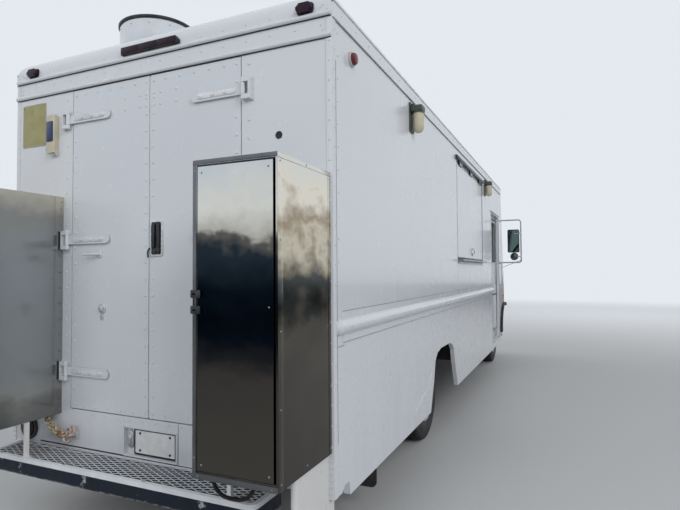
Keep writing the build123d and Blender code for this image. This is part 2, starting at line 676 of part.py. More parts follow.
flap = fillet(flap.edges().filter_by(Axis.Y).group_by(Axis.Z)[0], 40)
save("mud_flaps", both(flap))

# Rubber lips on the front arches

lip = front_arch(body_half, body_half + 42, 26) - front_arch(body_half - 10, body_half + 60)
lip &= block(body_half - 100, beyond, 6000, 7160, 560, 1100)
save("arch_lips", both(lip))


# Wheels: revolved tyres and rims, with hubs bored for their spindles

def tyre(x):
    pieces = [
        Line((-84, 205.8), (-84, 222)), ThreePointArc((-84, 222), (-107.5, 292), (-92, 366)),
        Line((-92, 366), (-76, 386)), Line((-76, 386), (76, 386)), Line((76, 386), (92, 366)),
        ThreePointArc((92, 366), (107.5, 292), (84, 222)), Line((84, 222), (84, 205.8)),
        Line((84, 205.8), (70, 205.8)), ThreePointArc((70, 205.8), (93, 292), (76, 360)),
        Line((76, 360), (-76, 360)), ThreePointArc((-76, 360), (-93, 292), (-70, 205.8)),
        Line((-70, 205.8), (-84, 205.8)),
    ]
    return Pos(x, 0, 0) * revolve(Rot(90, 0, 0) * make_face(pieces), Axis.X, 360)


def wheel_disc(x, side):
    outline = [
        (-92, 194), (-92, 219), (-84.3, 219), (-84.3, 205.5), (84.3, 205.5), (84.3, 219), (92, 219),
        (92, 194), (52, 194), (100, 152), (127.5, 140), (127.5, 52), (115.5, 52), (115.5, 133), (92, 144),
        (36, 194),
    ]
    placed = [(x + side * a, 0, r) for a, r in outline]
    rim = revolve(make_face(Polyline(*placed, close=True)), Axis.X, 360)
    for step in range(8):
        angle = math.radians(step * 45)
        face_x = x + side * 121
        rim -= rod("x", 17, face_x - 30, face_x + 30, 105 * math.cos(angle), 105 * math.sin(angle))
    return rim


front_rim = wheel_disc(front_tyre_x, 1)
front_rim += rod("x", 60, 884, 1085, 0, 0) + rod("x", 165, 884, 930, 0, 0)
front_rim -= rod("x", spindle_radius + fit, 870, 1066, 0, 0)
rear_rim = wheel_disc(rear_outer_tyre_x, -1) + wheel_disc(rear_inner_tyre_x, 1)
rear_rim += rod("x", 70, 640, 930, 0, 0) + rod("x", 165, 600, 700, 0, 0)
rear_rim -= rod("x", rear_spindle_radius + fit, 590, 906, 0, 0)
rear_tyres = group(tyre(rear_outer_tyre_x), tyre(rear_inner_tyre_x))
for name, shape, y in (
        ("front_wheel", front_rim, front_axle_y), ("front_tyre", tyre(front_tyre_x), front_axle_y),
        ("rear_wheels", rear_rim, rear_axle_y), ("rear_tyres", rear_tyres, rear_axle_y)):
    placed = Pos(0, y, tyre_radius) * shape
    save("right_" + name, placed)
    save("left_" + name, mirrored(placed))

# Cab: seat, dashboard, steering column and wheel

seat_x = -640
seat_base = block(seat_x - 170, seat_x + 170, 5680, 6020, floor_top_z, 1080)
cushion = fillet(block(seat_x - 240, seat_x + 240, 5610, 6100, 1080, 1190).edges(), 35)
backrest = fillet(block(seat_x - 230, seat_x + 230, 5570, 5690, 1150, 1830).edges(), 35)
save("driver_seat", seat_base + cushion + backrest)
dashboard_half = body_half - 110
dashboard = prism_x([(6760, 1180), (firewall_y, 1180), (firewall_y, 1480), (6830, 1480)],
                    -dashboard_half, dashboard_half)
dashboard -= block(-392, 392, 6700, 7030, 1170, 1282)
column_tilt = 50
column_end = 772.4
column_y = 6420
column_z = 1500
wheel_place = Pos(seat_x, column_y, column_z) * Rot(90 - column_tilt, 0, 0)
fixed_column = Pos(0, 0, -(column_end + 50) / 2) * Cylinder(28, column_end - 50)
fixed_column += Pos(0, 0, -40) * Cylinder(10, 60)
dashboard += wheel_place * fixed_column
save("dashboard", dashboard + block(seat_x - 25, seat_x + 25, 6660, 6790, 1190, 1230))
rim_ring = Torus(215, 14)
steering_wheel = rim_ring + Pos(0, 0, -22) * Cylinder(45, 40)
for turn in (90, 210, 330):
    steering_wheel += Rot(0, 0, turn) * Pos(125, 0, -12) * Box(190, 26, 12)
steering_wheel -= Pos(0, 0, -40) * Cylinder(10 + fit, 62)
save("steering_wheel", wheel_place * steering_wheel)

# Mirrors: a bent tube on each side, a tall head and a round one

mirror_x = body_half + 330
tube_route = [
    (body_half, 6750, 2410), (mirror_x, 6750, 2410), (mirror_x, 6750, 1700), (body_half, 6750, 1700),
]
tube_path = FilletPolyline(*tube_route, radius=40)
tube_ring = Plane(origin=tube_route[0], z_dir=(1, 0, 0)) * Circle(11)
arm = sweep(tube_ring, path=tube_path)
arm += rod("x", 8, mirror_x - 105, mirror_x, 6750, 2180) + rod("x", 8, mirror_x - 105, mirror_x, 6750, 1800)
head = block(mirror_x - 213, mirror_x - 30, 6750, 6800, 1868, 2250)
head = fillet(head.edges().filter_by(Axis.Y), 22)
head += rod("y", 62, 6750, 6778, mirror_x - 110, 1800)
save("mirrors", both(arm + head))

# Hose loop under the right cabinet

hose_middle_x = 895
hose_top_z = cabinet_bottom_z - seat
hose_half_route = [
    # X from the middle, Y, Z
    (115, -412, hose_top_z), (115, -412, 643), (105, -413, 610),
    (83, -415, 583), (52, -417, 566), (16, -418, 563),
]
hose_points = [(hose_middle_x - x, y, z) for x, y, z in hose_half_route]
hose_points += [(hose_middle_x + x, y, z) for x, y, z in reversed(hose_half_route)]
hose_radius = 9


def bend_radius(points):
    radii = []
    for before, here, after in zip(points, points[1:], points[2:]):
        a = Vector(*here) - Vector(*before)
        b = Vector(*after) - Vector(*here)
        half_turn = math.radians(a.get_angle(b)) / 2
        radii.append(0.45 * min(a.length, b.length) / math.tan(half_turn))
    return radii


hose_bends = bend_radius(hose_points)
print("hose bend radii", [round(value, 1) for value in hose_bends])
hose_path = FilletPolyline(*hose_points, radius=hose_bends)
hose_start = Plane(origin=hose_points[0], z_dir=Vector(*hose_points[1]) - Vector(*hose_points[0]))
save("hose", sweep(hose_start * Circle(hose_radius), path=hose_path))
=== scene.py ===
import bmesh
import bpy
import math
from mathutils import Matrix, Vector


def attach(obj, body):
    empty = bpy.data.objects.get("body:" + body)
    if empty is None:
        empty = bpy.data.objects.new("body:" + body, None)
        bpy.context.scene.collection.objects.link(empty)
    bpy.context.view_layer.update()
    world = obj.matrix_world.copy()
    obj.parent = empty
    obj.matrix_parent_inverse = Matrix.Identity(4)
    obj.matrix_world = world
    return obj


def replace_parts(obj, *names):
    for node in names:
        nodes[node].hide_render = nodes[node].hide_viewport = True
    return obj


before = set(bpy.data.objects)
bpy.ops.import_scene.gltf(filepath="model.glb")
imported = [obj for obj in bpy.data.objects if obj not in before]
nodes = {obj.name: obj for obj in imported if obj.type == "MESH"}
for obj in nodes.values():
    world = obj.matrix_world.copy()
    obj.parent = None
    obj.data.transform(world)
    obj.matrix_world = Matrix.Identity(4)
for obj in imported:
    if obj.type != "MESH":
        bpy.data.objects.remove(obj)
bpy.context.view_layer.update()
rearY = -3.65  # the rear wall's outer face; every piece below counts Y from it
wallX = 1.2  # the right side wall's outer face
print("frame loaded:", len(nodes), "nodes")

viewpoint = {
    "place": (2.2838, rearY - 2.3486, 1.5649), "turn": 24.0098, "pitch": 1.8494, "roll": -0.3962,
    "focal": 518.474, "width": 680,
}
camData = bpy.data.cameras.new("camera")
camera = bpy.data.objects.new("camera", camData)
bpy.context.scene.collection.objects.link(camera)
camData.sensor_width = 36
camData.lens = 36 * viewpoint["focal"] / viewpoint["width"]
camData.clip_start = 0.05
camData.clip_end = 300
camera.rotation_mode = "QUATERNION"
camera.rotation_quaternion = (
    Matrix.Rotation(math.radians(viewpoint["turn"]), 3, "Z")
    @ Matrix.Rotation(math.radians(90 + viewpoint["pitch"]), 3, "X")
    @ Matrix.Rotation(math.radians(viewpoint["roll"]), 3, "Z")).to_quaternion()
camera.location = viewpoint["place"]
bpy.context.scene.camera = camera
bpy.context.scene.view_settings.view_transform = "Standard"
print("camera set")


def operator(operation, flipped=False):
    def act(wire, other=0.0):
        first, second = (other, wire) if flipped else (wire, other)
        return wire.sheet.maths(operation, first, second)
    return act


class Wire:
    # one value travelling between shader nodes
    def __init__(self, sheet, socket):
        self.sheet = sheet
        self.socket = socket

    __add__, __radd__ = operator("ADD"), operator("ADD", True)
    __sub__, __rsub__ = operator("SUBTRACT"), operator("SUBTRACT", True)
    __mul__, __rmul__ = operator("MULTIPLY"), operator("MULTIPLY", True)
    __gt__, __lt__ = operator("GREATER_THAN"), operator("LESS_THAN")
    __abs__ = operator("ABSOLUTE")


class Sheet:
    # a tree of nodes
    def __init__(self, tree):
        self.tree = tree

    def add(self, kind, settings=None, sockets=None, out=0):
        node = self.tree.nodes.new(kind)
        for key, value in (settings or {}).items():
            if key == "stops":
                ramp = node.color_ramp
                while len(ramp.elements) < len(value):
                    ramp.elements.new(0.5)
                for element, (place, colour) in zip(ramp.elements, value):
                    element.position = place
                    element.color = (*colour, 1)
            else:
                setattr(node, key, value)
        for key, value in (sockets or {}).items():
            self.feed(node.inputs[key], value)
        return Wire(self, node.outputs[out])

    def feed(self, socket, value):
        if isinstance(value, Wire):
            self.tree.links.new(value.socket, socket)
        elif socket.type == "RGBA":
            socket.default_value = (*value, 1)
        else:
            socket.default_value = value

    def maths(self, operation, first, second=0.0):
        return self.add("ShaderNodeMath", {"operation": operation}, {0: first, 1: second})


finishes = {}


class Finish(Sheet):
    # a material, and the record's slot that it stands for
    def __init__(self, name, slot, **fixed):
        finishes[name] = self
        self.material = bpy.data.materials.new(name)
        self.material.use_nodes = True
        self.slot = slot
        super().__init__(self.material.node_tree)
        self.shader = self.tree.nodes["Principled BSDF"]
        for key, value in fixed.items():
            self.set(key.replace("_", " "), value)

    def set(self, name, value):
        self.feed(self.shader.inputs[name], value)

    def spot(self, stretch=(1, 1, 1)):
        here = self.add("ShaderNodeTexCoord", out="Object")
        return self.add("ShaderNodeMapping", None, {"Vector": here, "Scale": stretch})

    def along(self, axis):
        return self.add("ShaderNodeSeparateXYZ", None, {0: self.spot()}, axis)

    def noise(self, scale, detail=3, stretch=(1, 1, 1), rough=0.5):
        return self.add("ShaderNodeTexNoise", None, {
            "Vector": self.spot(stretch), "Scale": scale, "Detail": detail, "Roughness": rough})

    def cloud(self, scale, detail, low, high, outLow=0.0, outHigh=1.0, **more):
        # a noise, spread out between two of its levels
        return self.span(self.noise(scale, detail, **more), low, high, outLow, outHigh)

    def cells(self, scale, feature="F1", stretch=(1, 1, 1)):
        return self.add("ShaderNodeTexVoronoi", {"feature": feature}, {
            "Vector": self.spot(stretch), "Scale": scale})

    def ramp(self, value, *stops):
        return self.add("ShaderNodeValToRGB", {"stops": stops}, {0: value})

    def span(self, value, low, high, outLow=0.0, outHigh=1.0):
        return self.add("ShaderNodeMapRange", {"clamp": True}, {
            "Value": value, "From Min": low, "From Max": high, "To Min": outLow, "To Max": outHigh})

    def mix(self, factor, first, second):
        return self.add("ShaderNodeMix", {"data_type": "RGBA"}, {0: factor, 6: first, 7: second}, 2)

    def edges(self, radius):
        # 0 on flat skin, near 1 within that radius of an edge
        worn = self.add("ShaderNodeBevel", {"samples": 4}, {"Radius": radius})
        true = self.add("ShaderNodeNewGeometry", out="Normal")
        lean = self.add("ShaderNodeVectorMath", {"operation": "DOT_PRODUCT"}, {0: worn, 1: true}, 1)
        return self.span(lean, 0.995, 0.9)

    def bump(self, height, strength=0.3, distance=0.002, soften=0.0):
        sockets = {"Height": height, "Strength": strength, "Distance": distance}
        if soften:
            sockets["Normal"] = self.add("ShaderNodeBevel", {"samples": 4}, {"Radius": soften})
        self.set("Normal", self.add("ShaderNodeBump", None, sockets))


def tint(colour, share):
    return tuple(min(1.0, c * share) for c in colour)


def plain(name, slot, tone, rough=0.4, metal=0.0, mottle=0.12, scale=9, grain=0.15, grainScale=220,
          dust=0.0, soften=0.0, **fixed):
    f = Finish(name, slot, Metallic=metal, **fixed)
    cloud = f.cloud(scale, 4, 0.3, 0.7)
    colour = f.mix(cloud, tint(tone, 1 - mottle), tint(tone, 1 + mottle))
    if dust:
        colour = f.mix(f.cloud(scale * 0.4, 5, 0.42, 0.75) * dust, colour, (0.33, 0.29, 0.23))
    f.set("Base Color", colour)
    f.set("Roughness", f.cloud(scale * 3, 3, 0.3, 0.7, rough * 0.82, rough * 1.18))
    f.bump(f.noise(grainScale, 2), grain, 0.001, soften)


class Shape:
    # points and faces gathered for one piece
    def __init__(self):
        self.points = []
        self.faces = []

    def add(self, points, faces):
        start = len(self.points)
        self.points += [Vector(p) for p in points]
        self.faces += [[start + i for i in face] for face in faces]
        return self

    def take(self, mesh):
        mesh.verts.index_update()
        points = [v.co.copy() for v in mesh.verts]
        faces = [[v.index for v in face.verts] for face in mesh.faces]
        mesh.free()
        return self.add(points, faces)

    def skin(self, rows, wrapRows=False, wrapColumns=True):
        # four-sided faces between rows of as many points each
        start, count = len(self.points), len(rows[0])
        for i in range(len(rows) - (not wrapRows)):
            low, high = start + i * count, start + (i + 1) % len(rows) * count
            for k in range(count - (not wrapColumns)):
                j = (k + 1) % count
                self.faces.append([low + k, low + j, high + j, high + k])
        self.points += [Vector(p) for row in rows for p in row]
        return self

    def box(self, low, high, soft=0.0, steps=2):
        mesh = bmesh.new()
        bmesh.ops.create_cube(mesh, size=1)
        for v in mesh.verts:
            v.co = [a + (b - a) * (c + 0.5) for a, b, c in zip(low, high, v.co)]
        if soft:
            bevel(mesh, mesh.edges[:], soft, steps)
        return self.take(mesh)

    def slab(self, axis, outline, low, high, soft=0.0, steps=2):
        # a flat outline thickened along an axis; soft rounds its two rims
        outline = asOutline(outline)
        mesh = bmesh.new()
        rows = [[mesh.verts.new(onPlane(axis, u, v, w)) for u, v in outline] for w in (low, high)]
        mesh.faces.new(rows[0])
        mesh.faces.new(rows[1][::-1])
        count = len(outline)
        for i in range(count):
            j = (i + 1) % count
            mesh.faces.new((rows[0][j], rows[0][i], rows[1][i], rows[1][j]))
        if soft:
            place = "xyz".index(axis)
            rims = [e for e in mesh.edges if abs(e.verts[0].co[place] - e.verts[1].co[place]) < 1e-7]
            bevel(mesh, rims, soft, steps)
        return self.take(mesh)

    def ring(self, axis, outer, inner, low, high):
        # a flat band between two outlines of as many points each
        outer, inner = asOutline(outer), asOutline(inner)
        rows = [(outer, low), (outer, high), (inner, high), (inner, low)]
        return self.skin([[onPlane(axis, u, v, w) for u, v in line] for line, w in rows], True)

    def rim(self, axis, form, width, low, high, *corner):
        # a rectangle's border, with its inner corners' radius
        u0, u1, v0, v1 = form[:4]
        return self.ring(axis, form, (u0 + width, u1 - width, v0 + width, v1 - width, *corner), low, high)

    def spin(self, profile, place, sides=16, facing=(0, -1, 0)):
        # a lathed form: the profile gives distance along the axis and radius
        axis = Vector(facing).normalized()
        across = axis.orthogonal().normalized()
        up = axis.cross(across)
        points, faces, rings = [], [], []
        for along, radius in profile:
            count = 1 if radius < 1e-6 else sides
            rings.append(range(len(points), len(points) + count))
            points += [Vector(place) + axis * along + across * u + up * v
                       for u, v in circle(0, 0, radius, sides)[:count]]
        for low, high in zip(rings, rings[1:]):
            for k in range(sides):
                j = k + 1
                corners = (low[k % len(low)], low[j % len(low)], high[j % len(high)], high[k % len(high)])
                face = list(dict.fromkeys(corners))
                if len(face) > 2:
                    faces.append(face)
        return self.add(points, faces)

    def tube(self, route, radius, sides=10, loop=False):
        route = [Vector(p) for p in route]
        count = len(route)
        rows, across = [], None
        for i, here in enumerate(route):
            before = route[i - 1] if i or loop else here
            after = route[(i + 1) % count] if i < count - 1 or loop else here
            ahead = (after - before).normalized()
            across = ahead.orthogonal() if across is None else across - ahead * across.dot(ahead)
            across.normalize()
            up = ahead.cross(across)
            size = radius[i] if isinstance(radius, (list, tuple)) else radius
            rows.append([here + across * u + up * v for u, v in circle(0, 0, size, sides)])
        start = len(self.points)
        self.skin(rows, loop)
        if not loop:
            last = start + (count - 1) * sides
            self.faces += [list(range(start, start + sides))[::-1], list(range(last, last + sides))]
        return self

    def rivets(self, places, radius=0.0085, height=0.0046, facing=(0, -1, 0)):
        for place in places:
            self.spin([(0, radius), (height * 0.6, radius * 0.82), (height, 0)], place, 8, facing)
        return self

    def flip(self):
        self.points = [Vector((-x, y, z)) for x, y, z in self.points]
        return self

    def both(self):
        # the same again on the truck's other side
        mirror = [(-x, y, z) for x, y, z in self.points]
        return self.add(mirror, [face[::-1] for face in list(self.faces)])


def bevel(mesh, edges, width, steps):
    bmesh.ops.bevel(mesh, geom=edges, offset=width, segments=steps, profile=0.5, affect="EDGES",
                    clamp_overlap=True)


def circle(u, v, radius, count, start=0.0):
    angles = [start + 2 * math.pi * k / count for k in range(count)]
    return [(u + radius * math.cos(a), v + radius * math.sin(a)) for a in angles]


def asOutline(form):
    # an outline is its points, or a rectangle's four sides with its corners' radius
    return form if isinstance(form[0], tuple) else roundRect(*form)


def onPlane(axis, u, v, w):
    return {"x": (w, u, v), "y": (u, w, v), "z": (u, v, w)}[axis]


def roundRect(u0, u1, v0, v1, radius=0.0, steps=5):
    if not radius:
        return [(u0, v0), (u1, v0), (u1, v1), (u0, v1)]
    points = []
    left, right, low, high = u0 + radius, u1 - radius, v0 + radius, v1 - radius
    for turn, (u, v) in enumerate(((right, low), (right, high), (left, high), (left, low))):
        for k in range(steps + 1):
            angle = math.radians(90 * (turn - 1) + 90 * k / steps)
            points.append((u + radius * math.cos(angle), v + radius * math.sin(angle)))
    return points


def bent(route, radius, steps=6):
    # the route with its corners rounded
    route = [Vector(p) for p in route]
    points = [route[0]]
    for before, here, after in zip(route, route[1:], route[2:]):
        reach = min(radius, (before - here).length * 0.45, (after - here).length * 0.45)
        start = here + (before - here).normalized() * reach
        end = here + (after - here).normalized() * reach
        for k in range(steps + 1):
            t = k / steps
            points.append(start * (1 - t) ** 2 + here * 2 * t * (1 - t) + end * t ** 2)
    return points + [route[-1]]


def steps(start, end, pitch):
    count = max(1, round((end - start) / pitch))
    return [start + (end - start) * k / count for k in range(count + 1)]


def piece(name, shape, finish, body="body", angle=32):
    mesh = bpy.data.meshes.new(name)
    mesh.from_pydata([(x, y + rearY, z) for x, y, z in shape.points], [], shape.faces)
    tidy = bmesh.new()
    tidy.from_mesh(mesh)
    bmesh.ops.recalc_face_normals(tidy, faces=tidy.faces)
    tidy.to_mesh(mesh)
    tidy.free()
    mesh.materials.append(finishes[finish].material)
    mesh.shade_smooth()
    mesh.set_sharp_from_angle(angle=math.radians(angle))
    thing = bpy.data.objects.new(name, mesh)
    bpy.context.scene.collection.objects.link(thing)
    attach(thing, body)
    return thing


plain("hoseRubber", "rubber", (0.006, 0.006, 0.007), 0.5, grain=0.4, grainScale=500, dust=0.04,
      Specular_IOR_Level=0.25)
hoseLoop = {
    "middleX": 0.895, "radius": 0.009, "length": 0.36, "stiffness": "medium",
    "half": [(0.115, -0.412, 0.6677), (0.115, -0.412, 0.643), (0.105, -0.413, 0.610),
             (0.083, -0.415, 0.583), (0.052, -0.417, 0.566), (0.016, -0.418, 0.563)],
}


def gasHose():
    left = [(hoseLoop["middleX"] - x, y + rearY, z) for x, y, z in hoseLoop["half"]]
    right = [(hoseLoop["middleX"] + x, y + rearY, z) for x, y, z in reversed(hoseLoop["half"])]
    route = left + right
    curve = bpy.data.curves.new("gasHose", "CURVE")
    curve.dimensions = "3D"
    curve.bevel_depth = hoseLoop["radius"]
    curve.bevel_resolution = 5
    curve.use_fill_caps = True
    curve.materials.append(finishes["hoseRubber"].material)
    line = curve.splines.new("NURBS")
    line.points.add(len(route) - 1)
    for point, place in zip(line.points, route):
        point.co = (*place, 1)
    line.order_u = 3
    line.use_endpoint_u = True
    line.resolution_u = 10
    thing = bpy.data.objects.new("gasHose", curve)
    bpy.context.scene.collection.objects.link(thing)
    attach(thing, "body")
    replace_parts(thing, "hose")


gasHose()
print("hose made")


def whitePaint(name, tone=(0.74, 0.755, 0.78), wear=1.0, waves=0.2, slot="white_paint", soften=0.003,
               bands=()):
    f = Finish(name, slot, Coat_Weight=0.3, Coat_Roughness=0.08)
    foot = f.span(f.along("Z"), 1.15, 0.35)
    runs = f.cloud(1.6, 2, 0.42, 0.8, stretch=(3, 3, 0.35))
    dirt = runs * (0.04 + foot * 0.96)
    colour = f.mix(f.cloud(0.7, 3, 0.3, 0.7), tone, tint(tone, 0.95))
    colour = f.mix(dirt * (0.24 * wear), colour, (0.4, 0.37, 0.33))
    worn = f.edges(0.003) * f.cloud(24, 4, 0.56, 0.64, rough=0.65)
    colour = f.mix(worn * (0.6 * wear), colour, (0.3, 0.27, 0.24))
    for low, high, dark in bands:
        colour = f.mix((f.along("Z") > low) * (f.along("Z") < high), colour, dark)
    f.set("Base Color", colour)
    f.set("Roughness", f.cloud(5, 3, 0.2, 0.8, 0.2, 0.3) + dirt * 0.25)
    f.bump(f.noise(1.3, 1), waves, 0.01, soften)


def chippedPaint(name, tone, under, slot, reach=0.006, amount=1.0, rough=0.4, **fixed):
    f = Finish(name, slot, **fixed)
    worn = f.edges(reach) * f.cloud(26, 5, 0.42, 0.56, rough=0.65)
    patches = f.cloud(9, 6, 0.62, 0.66, rough=0.7) * f.cloud(60, 3, 0.4, 0.55)
    bare = f.maths("MAXIMUM", worn, patches) * amount
    colour = f.mix(f.cloud(5, 4, 0.3, 0.7), tint(tone, 0.85), tint(tone, 1.12))
    colour = f.mix(bare, colour, under)
    f.set("Base Color", colour)
    f.set("Roughness", f.cloud(20, 3, 0.3, 0.7, rough * 0.8, rough * 1.2) + bare * 0.15)
    f.bump(f.noise(45, 3) * 0.3 - bare, 0.35, 0.0012, 0.002)


def cabinetSteel():
    # polished sheet with a painted reflection, pale sky above and dark ground below, with fine upright grain
    # and shallow dents
    f = Finish("cabinetSteel", "stainless", Metallic=1.0)
    wave = f.noise(4.5, 3, (1, 1, 1.4), 0.55) - 0.5
    ripple = f.noise(20, 3, (1, 1, 1.6)) - 0.5
    height = f.along("Z") + wave * 0.3 + ripple * 0.05
    share = f.span(height, 0.66, 2.07)
    # painted reflection: these ramps hold the sky, horizon and ground as mirrored in the steel
    dark = f.ramp(
        share, (0.0, (0.1, 0.089, 0.077)), (0.3, (0.09, 0.08, 0.072)), (0.38, (0.03, 0.032, 0.036)),
        (0.46, (0.006, 0.012, 0.022)), (0.6, (0.007, 0.014, 0.024)), (0.7, (0.022, 0.032, 0.042)),
        (0.745, (0.12, 0.115, 0.1)), (0.77, (0.5, 0.48, 0.42)), (0.86, (0.74, 0.72, 0.65)),
        (0.97, (0.6, 0.64, 0.66)))
    sideReflection = f.ramp(
        f.span(height + wave * 0.25, 0.66, 2.07), (0.0, (0.095, 0.085, 0.075)), (0.3, (0.13, 0.115, 0.1)),
        (0.5, (0.17, 0.15, 0.12)), (0.56, (0.06, 0.065, 0.06)), (0.63, (0.07, 0.08, 0.075)),
        (0.68, (0.3, 0.26, 0.19)), (0.74, (0.62, 0.56, 0.43)), (0.8, (0.36, 0.28, 0.19)),
        (0.88, (0.8, 0.74, 0.62)), (1.0, (0.75, 0.73, 0.66)))
    leftReflection = f.ramp(
        share, (0.0, (0.24, 0.235, 0.22)), (0.08, (0.28, 0.275, 0.26)), (0.13, (0.42, 0.41, 0.38)),
        (0.2, (0.38, 0.39, 0.385)), (0.6, (0.4, 0.42, 0.42)), (0.8, (0.38, 0.395, 0.39)),
        (0.9, (0.38, 0.37, 0.34)), (1.0, (0.66, 0.61, 0.5)))
    sideways = f.add("ShaderNodeSeparateXYZ", None, {0: f.add("ShaderNodeTexCoord", out="Normal")}, "X")
    # rear faces, side faces and the left cabinet each take their own painted reflection
    colour = f.mix(f.span(abs(sideways), 0.3, 0.7), dark, sideReflection)
    colour = f.mix(f.along("X") < 0.0, colour, leftReflection)
    scuff = f.cloud(30, 6, 0.68, 0.72, stretch=(1, 1, 0.5), rough=0.75) * f.cloud(3, 2, 0.55, 0.62)
    f.set("Base Color", f.mix(scuff * 0.35, colour, (0.4, 0.4, 0.38)))
    f.set("Roughness", f.cloud(7, 4, 0.3, 0.7, 0.14, 0.24) + scuff * 0.2)
    f.bump(f.noise(2.6, 2) + ripple * 0.05, 0.4, 0.006, 0.002)


# plain: name, slot, tone, roughness, metal, mottle and its scale, grain and its scale, dust, softening
whitePaint("bodyPaint")
whitePaint("doorPaint", (0.72, 0.745, 0.78), 1.1, 0.26)
# the grey band at 1.6 to 1.687 is painted shade under the ledge; the black band at the top is the hinge bar's
# own colour
whitePaint("hatchPaint", bands=((2.698, 2.785, (0.02, 0.02, 0.022)), (1.6, 1.687, (0.2, 0.2, 0.2))))
chippedPaint("trimPaint", (0.76, 0.77, 0.79), (0.3, 0.27, 0.25), "white_paint", 0.004, 0.7, 0.32)
plain("aluminium", "bare_aluminium", (0.62, 0.63, 0.64), 0.36, 1.0, 0.08, 6, 0.25, 160, 0.15, 0.002)
plain("rimSteel", "stainless", (0.16, 0.17, 0.18), 0.28, 1.0, 0.2, 5, 0.15, 120)
plain("screwMetal", "stainless", (0.36, 0.37, 0.38), 0.35, 1.0, 0.2, 30, 0.1, 200)
plain("fanMetal", "bare_aluminium", (0.36, 0.39, 0.43), 0.4, 0.9, 0.15, 6, 0.25, 160, 0.25, 0.002)
plain("bandMetal", "bare_aluminium", (0.74, 0.76, 0.79), 0.3, 1.0, 0.08, 5, 0.2, 140, 0.12)
# black undercoat, also standing in for the shade inside the wheel arches
plain("undercoatAndArchShade", "black_iron", (0.02, 0.02, 0.021), 0.75, 0.0, 0.25, 6, 0.7, 60, 0.2)
plain("hoodPaint", "black_iron", (0.05, 0.075, 0.07), 0.45, 0.2, dust=0.3)
plain("galvanised", "galvanised", (0.52, 0.53, 0.54), 0.5, 0.9, 0.15, 14, 0.3, 120, 0.3, 0.002)
# mid grey for sealed seams, also used as painted shade under the rear mouldings
plain("sealantAndShade", "rubber", (0.17, 0.185, 0.205), 0.6, 0.0, 0.2, 20, 0.2, 300, 0.15)
plain("seal", "rubber", (0.016, 0.016, 0.017), 0.6, 0.0, 0.2, 20, 0.3, 300, 0.15)
plain("chrome", "bare_aluminium", (0.72, 0.73, 0.74), 0.16, 1.0, 0.05, 12, 0.05, 90, 0.12)
plain("darkSteel", "galvanised", (0.05, 0.057, 0.065), 0.35, 0.8, 0.3, 30, 0.4, 150, 0.1)
plain("blackIron", "black_iron", (0.035, 0.035, 0.036), 0.62, 0.0, 0.25, 7, 0.5, 90, 0.5, 0.002)
plain("blackPlastic", "black_plastic", (0.022, 0.022, 0.024), 0.42, 0.0, 0.15, 10, 0.4, 420, 0.2)
plain("creamPlastic", "cream_plastic", (0.62, 0.56, 0.42), 0.35, 0.0, 0.1, 12, 0.15, 200, 0.25)
plain("ochreSheet", "cream_plastic", (0.37, 0.34, 0.14), 0.38, 0.0, 0.12, 16, 0.1, 90, 0.2)
plain("navyPanel", "dark_paint", (0.018, 0.035, 0.11), 0.2, 0.0, 0.15, 30, 0.05, 90, 0.05)
plain("plateSheet", "white_rim", (0.8, 0.81, 0.8), 0.32, 0.0, 0.08, 20, 0.15, 60, 0.2)
chippedPaint("navyPaint", (0.008, 0.013, 0.024), (0.4, 0.4, 0.4), "dark_paint", 0.012, 1.0, 0.5,
             Specular_IOR_Level=0.25)
plain("stepWhite", "galvanised", (0.76, 0.78, 0.81), 0.42, 0.0, 0.06, 12, 0.2, 120, 0.15)
whitePaint("postPaint", (0.76, 0.75, 0.73), 0.6, 0.05)
plain("amberLens", "red_lens", (0.55, 0.16, 0.01), 0.12, 0.0, 0.1, 30, 0.2, 90, 0.1)
plain("hubPaint", "black_iron", (0.09, 0.09, 0.09), 0.5, 0.3, 0.3, 18, 0.4, 120, 0.5, 0.002)
plain("dashPlastic", "black_plastic", (0.07, 0.07, 0.072), 0.55, 0.0, 0.1, 8, 0.5, 500, 0.2)
plain("mirrorGlass", "glass", (0.09, 0.14, 0.13), 0.05, 1.0, 0.1, 5, 0.02, 30, 0.05)
plain("wheelGrip", "black_plastic", (0.02, 0.02, 0.02), 0.35, 0.0, 0.2, 14, 0.35, 380, 0.12)


def lens(name, tone, slot="red_lens", ribs=240, **fixed):
    f = Finish(name, slot, Coat_Weight=0.1, Coat_Roughness=0.1, **fixed)
    f.set("Base Color", f.mix(f.span(f.cells(90), 0.0, 0.012), tint(tone, 1.5), tone))
    f.set("Roughness", f.cloud(20, 3, 0.3, 0.7, 0.14, 0.26))
    f.bump(f.cells(ribs), 0.5, 0.0015)


def tyreRubber():
    f = Finish("tyreRubber", "tyre_rubber")
    dusty = f.cloud(7, 5, 0.35, 0.75, rough=0.65)
    colour = f.mix(f.cloud(24, 3, 0.3, 0.7), (0.018, 0.018, 0.019), (0.032, 0.031, 0.031))
    f.set("Base Color", f.mix(dusty * 0.3, colour, (0.075, 0.068, 0.06)))
    f.set("Roughness", f.cloud(15, 3, 0.3, 0.7, 0.6, 0.82))
    f.bump(f.noise(160, 3) + f.noise(30, 2) * 0.6, 0.3, 0.0012)


def rimPaint():
    f = Finish("rimPaint", "white_rim")
    rust = f.cloud(16, 6, 0.56, 0.64, rough=0.7) * f.cloud(4, 3, 0.4, 0.6)
    rust = f.maths("MAXIMUM", rust, f.edges(0.004) * f.cloud(30, 4, 0.45, 0.55))
    grime = f.cloud(5, 5, 0.35, 0.75)
    colour = f.mix(grime * 0.55, (0.62, 0.62, 0.6), (0.26, 0.23, 0.19))
    f.set("Base Color", f.mix(rust, colour, (0.14, 0.06, 0.03)))
    f.set("Roughness", 0.32 + grime * 0.2 + rust * 0.35)
    f.bump(f.noise(50, 4) * 0.4 + rust * 0.5, 0.35, 0.0015, 0.002)


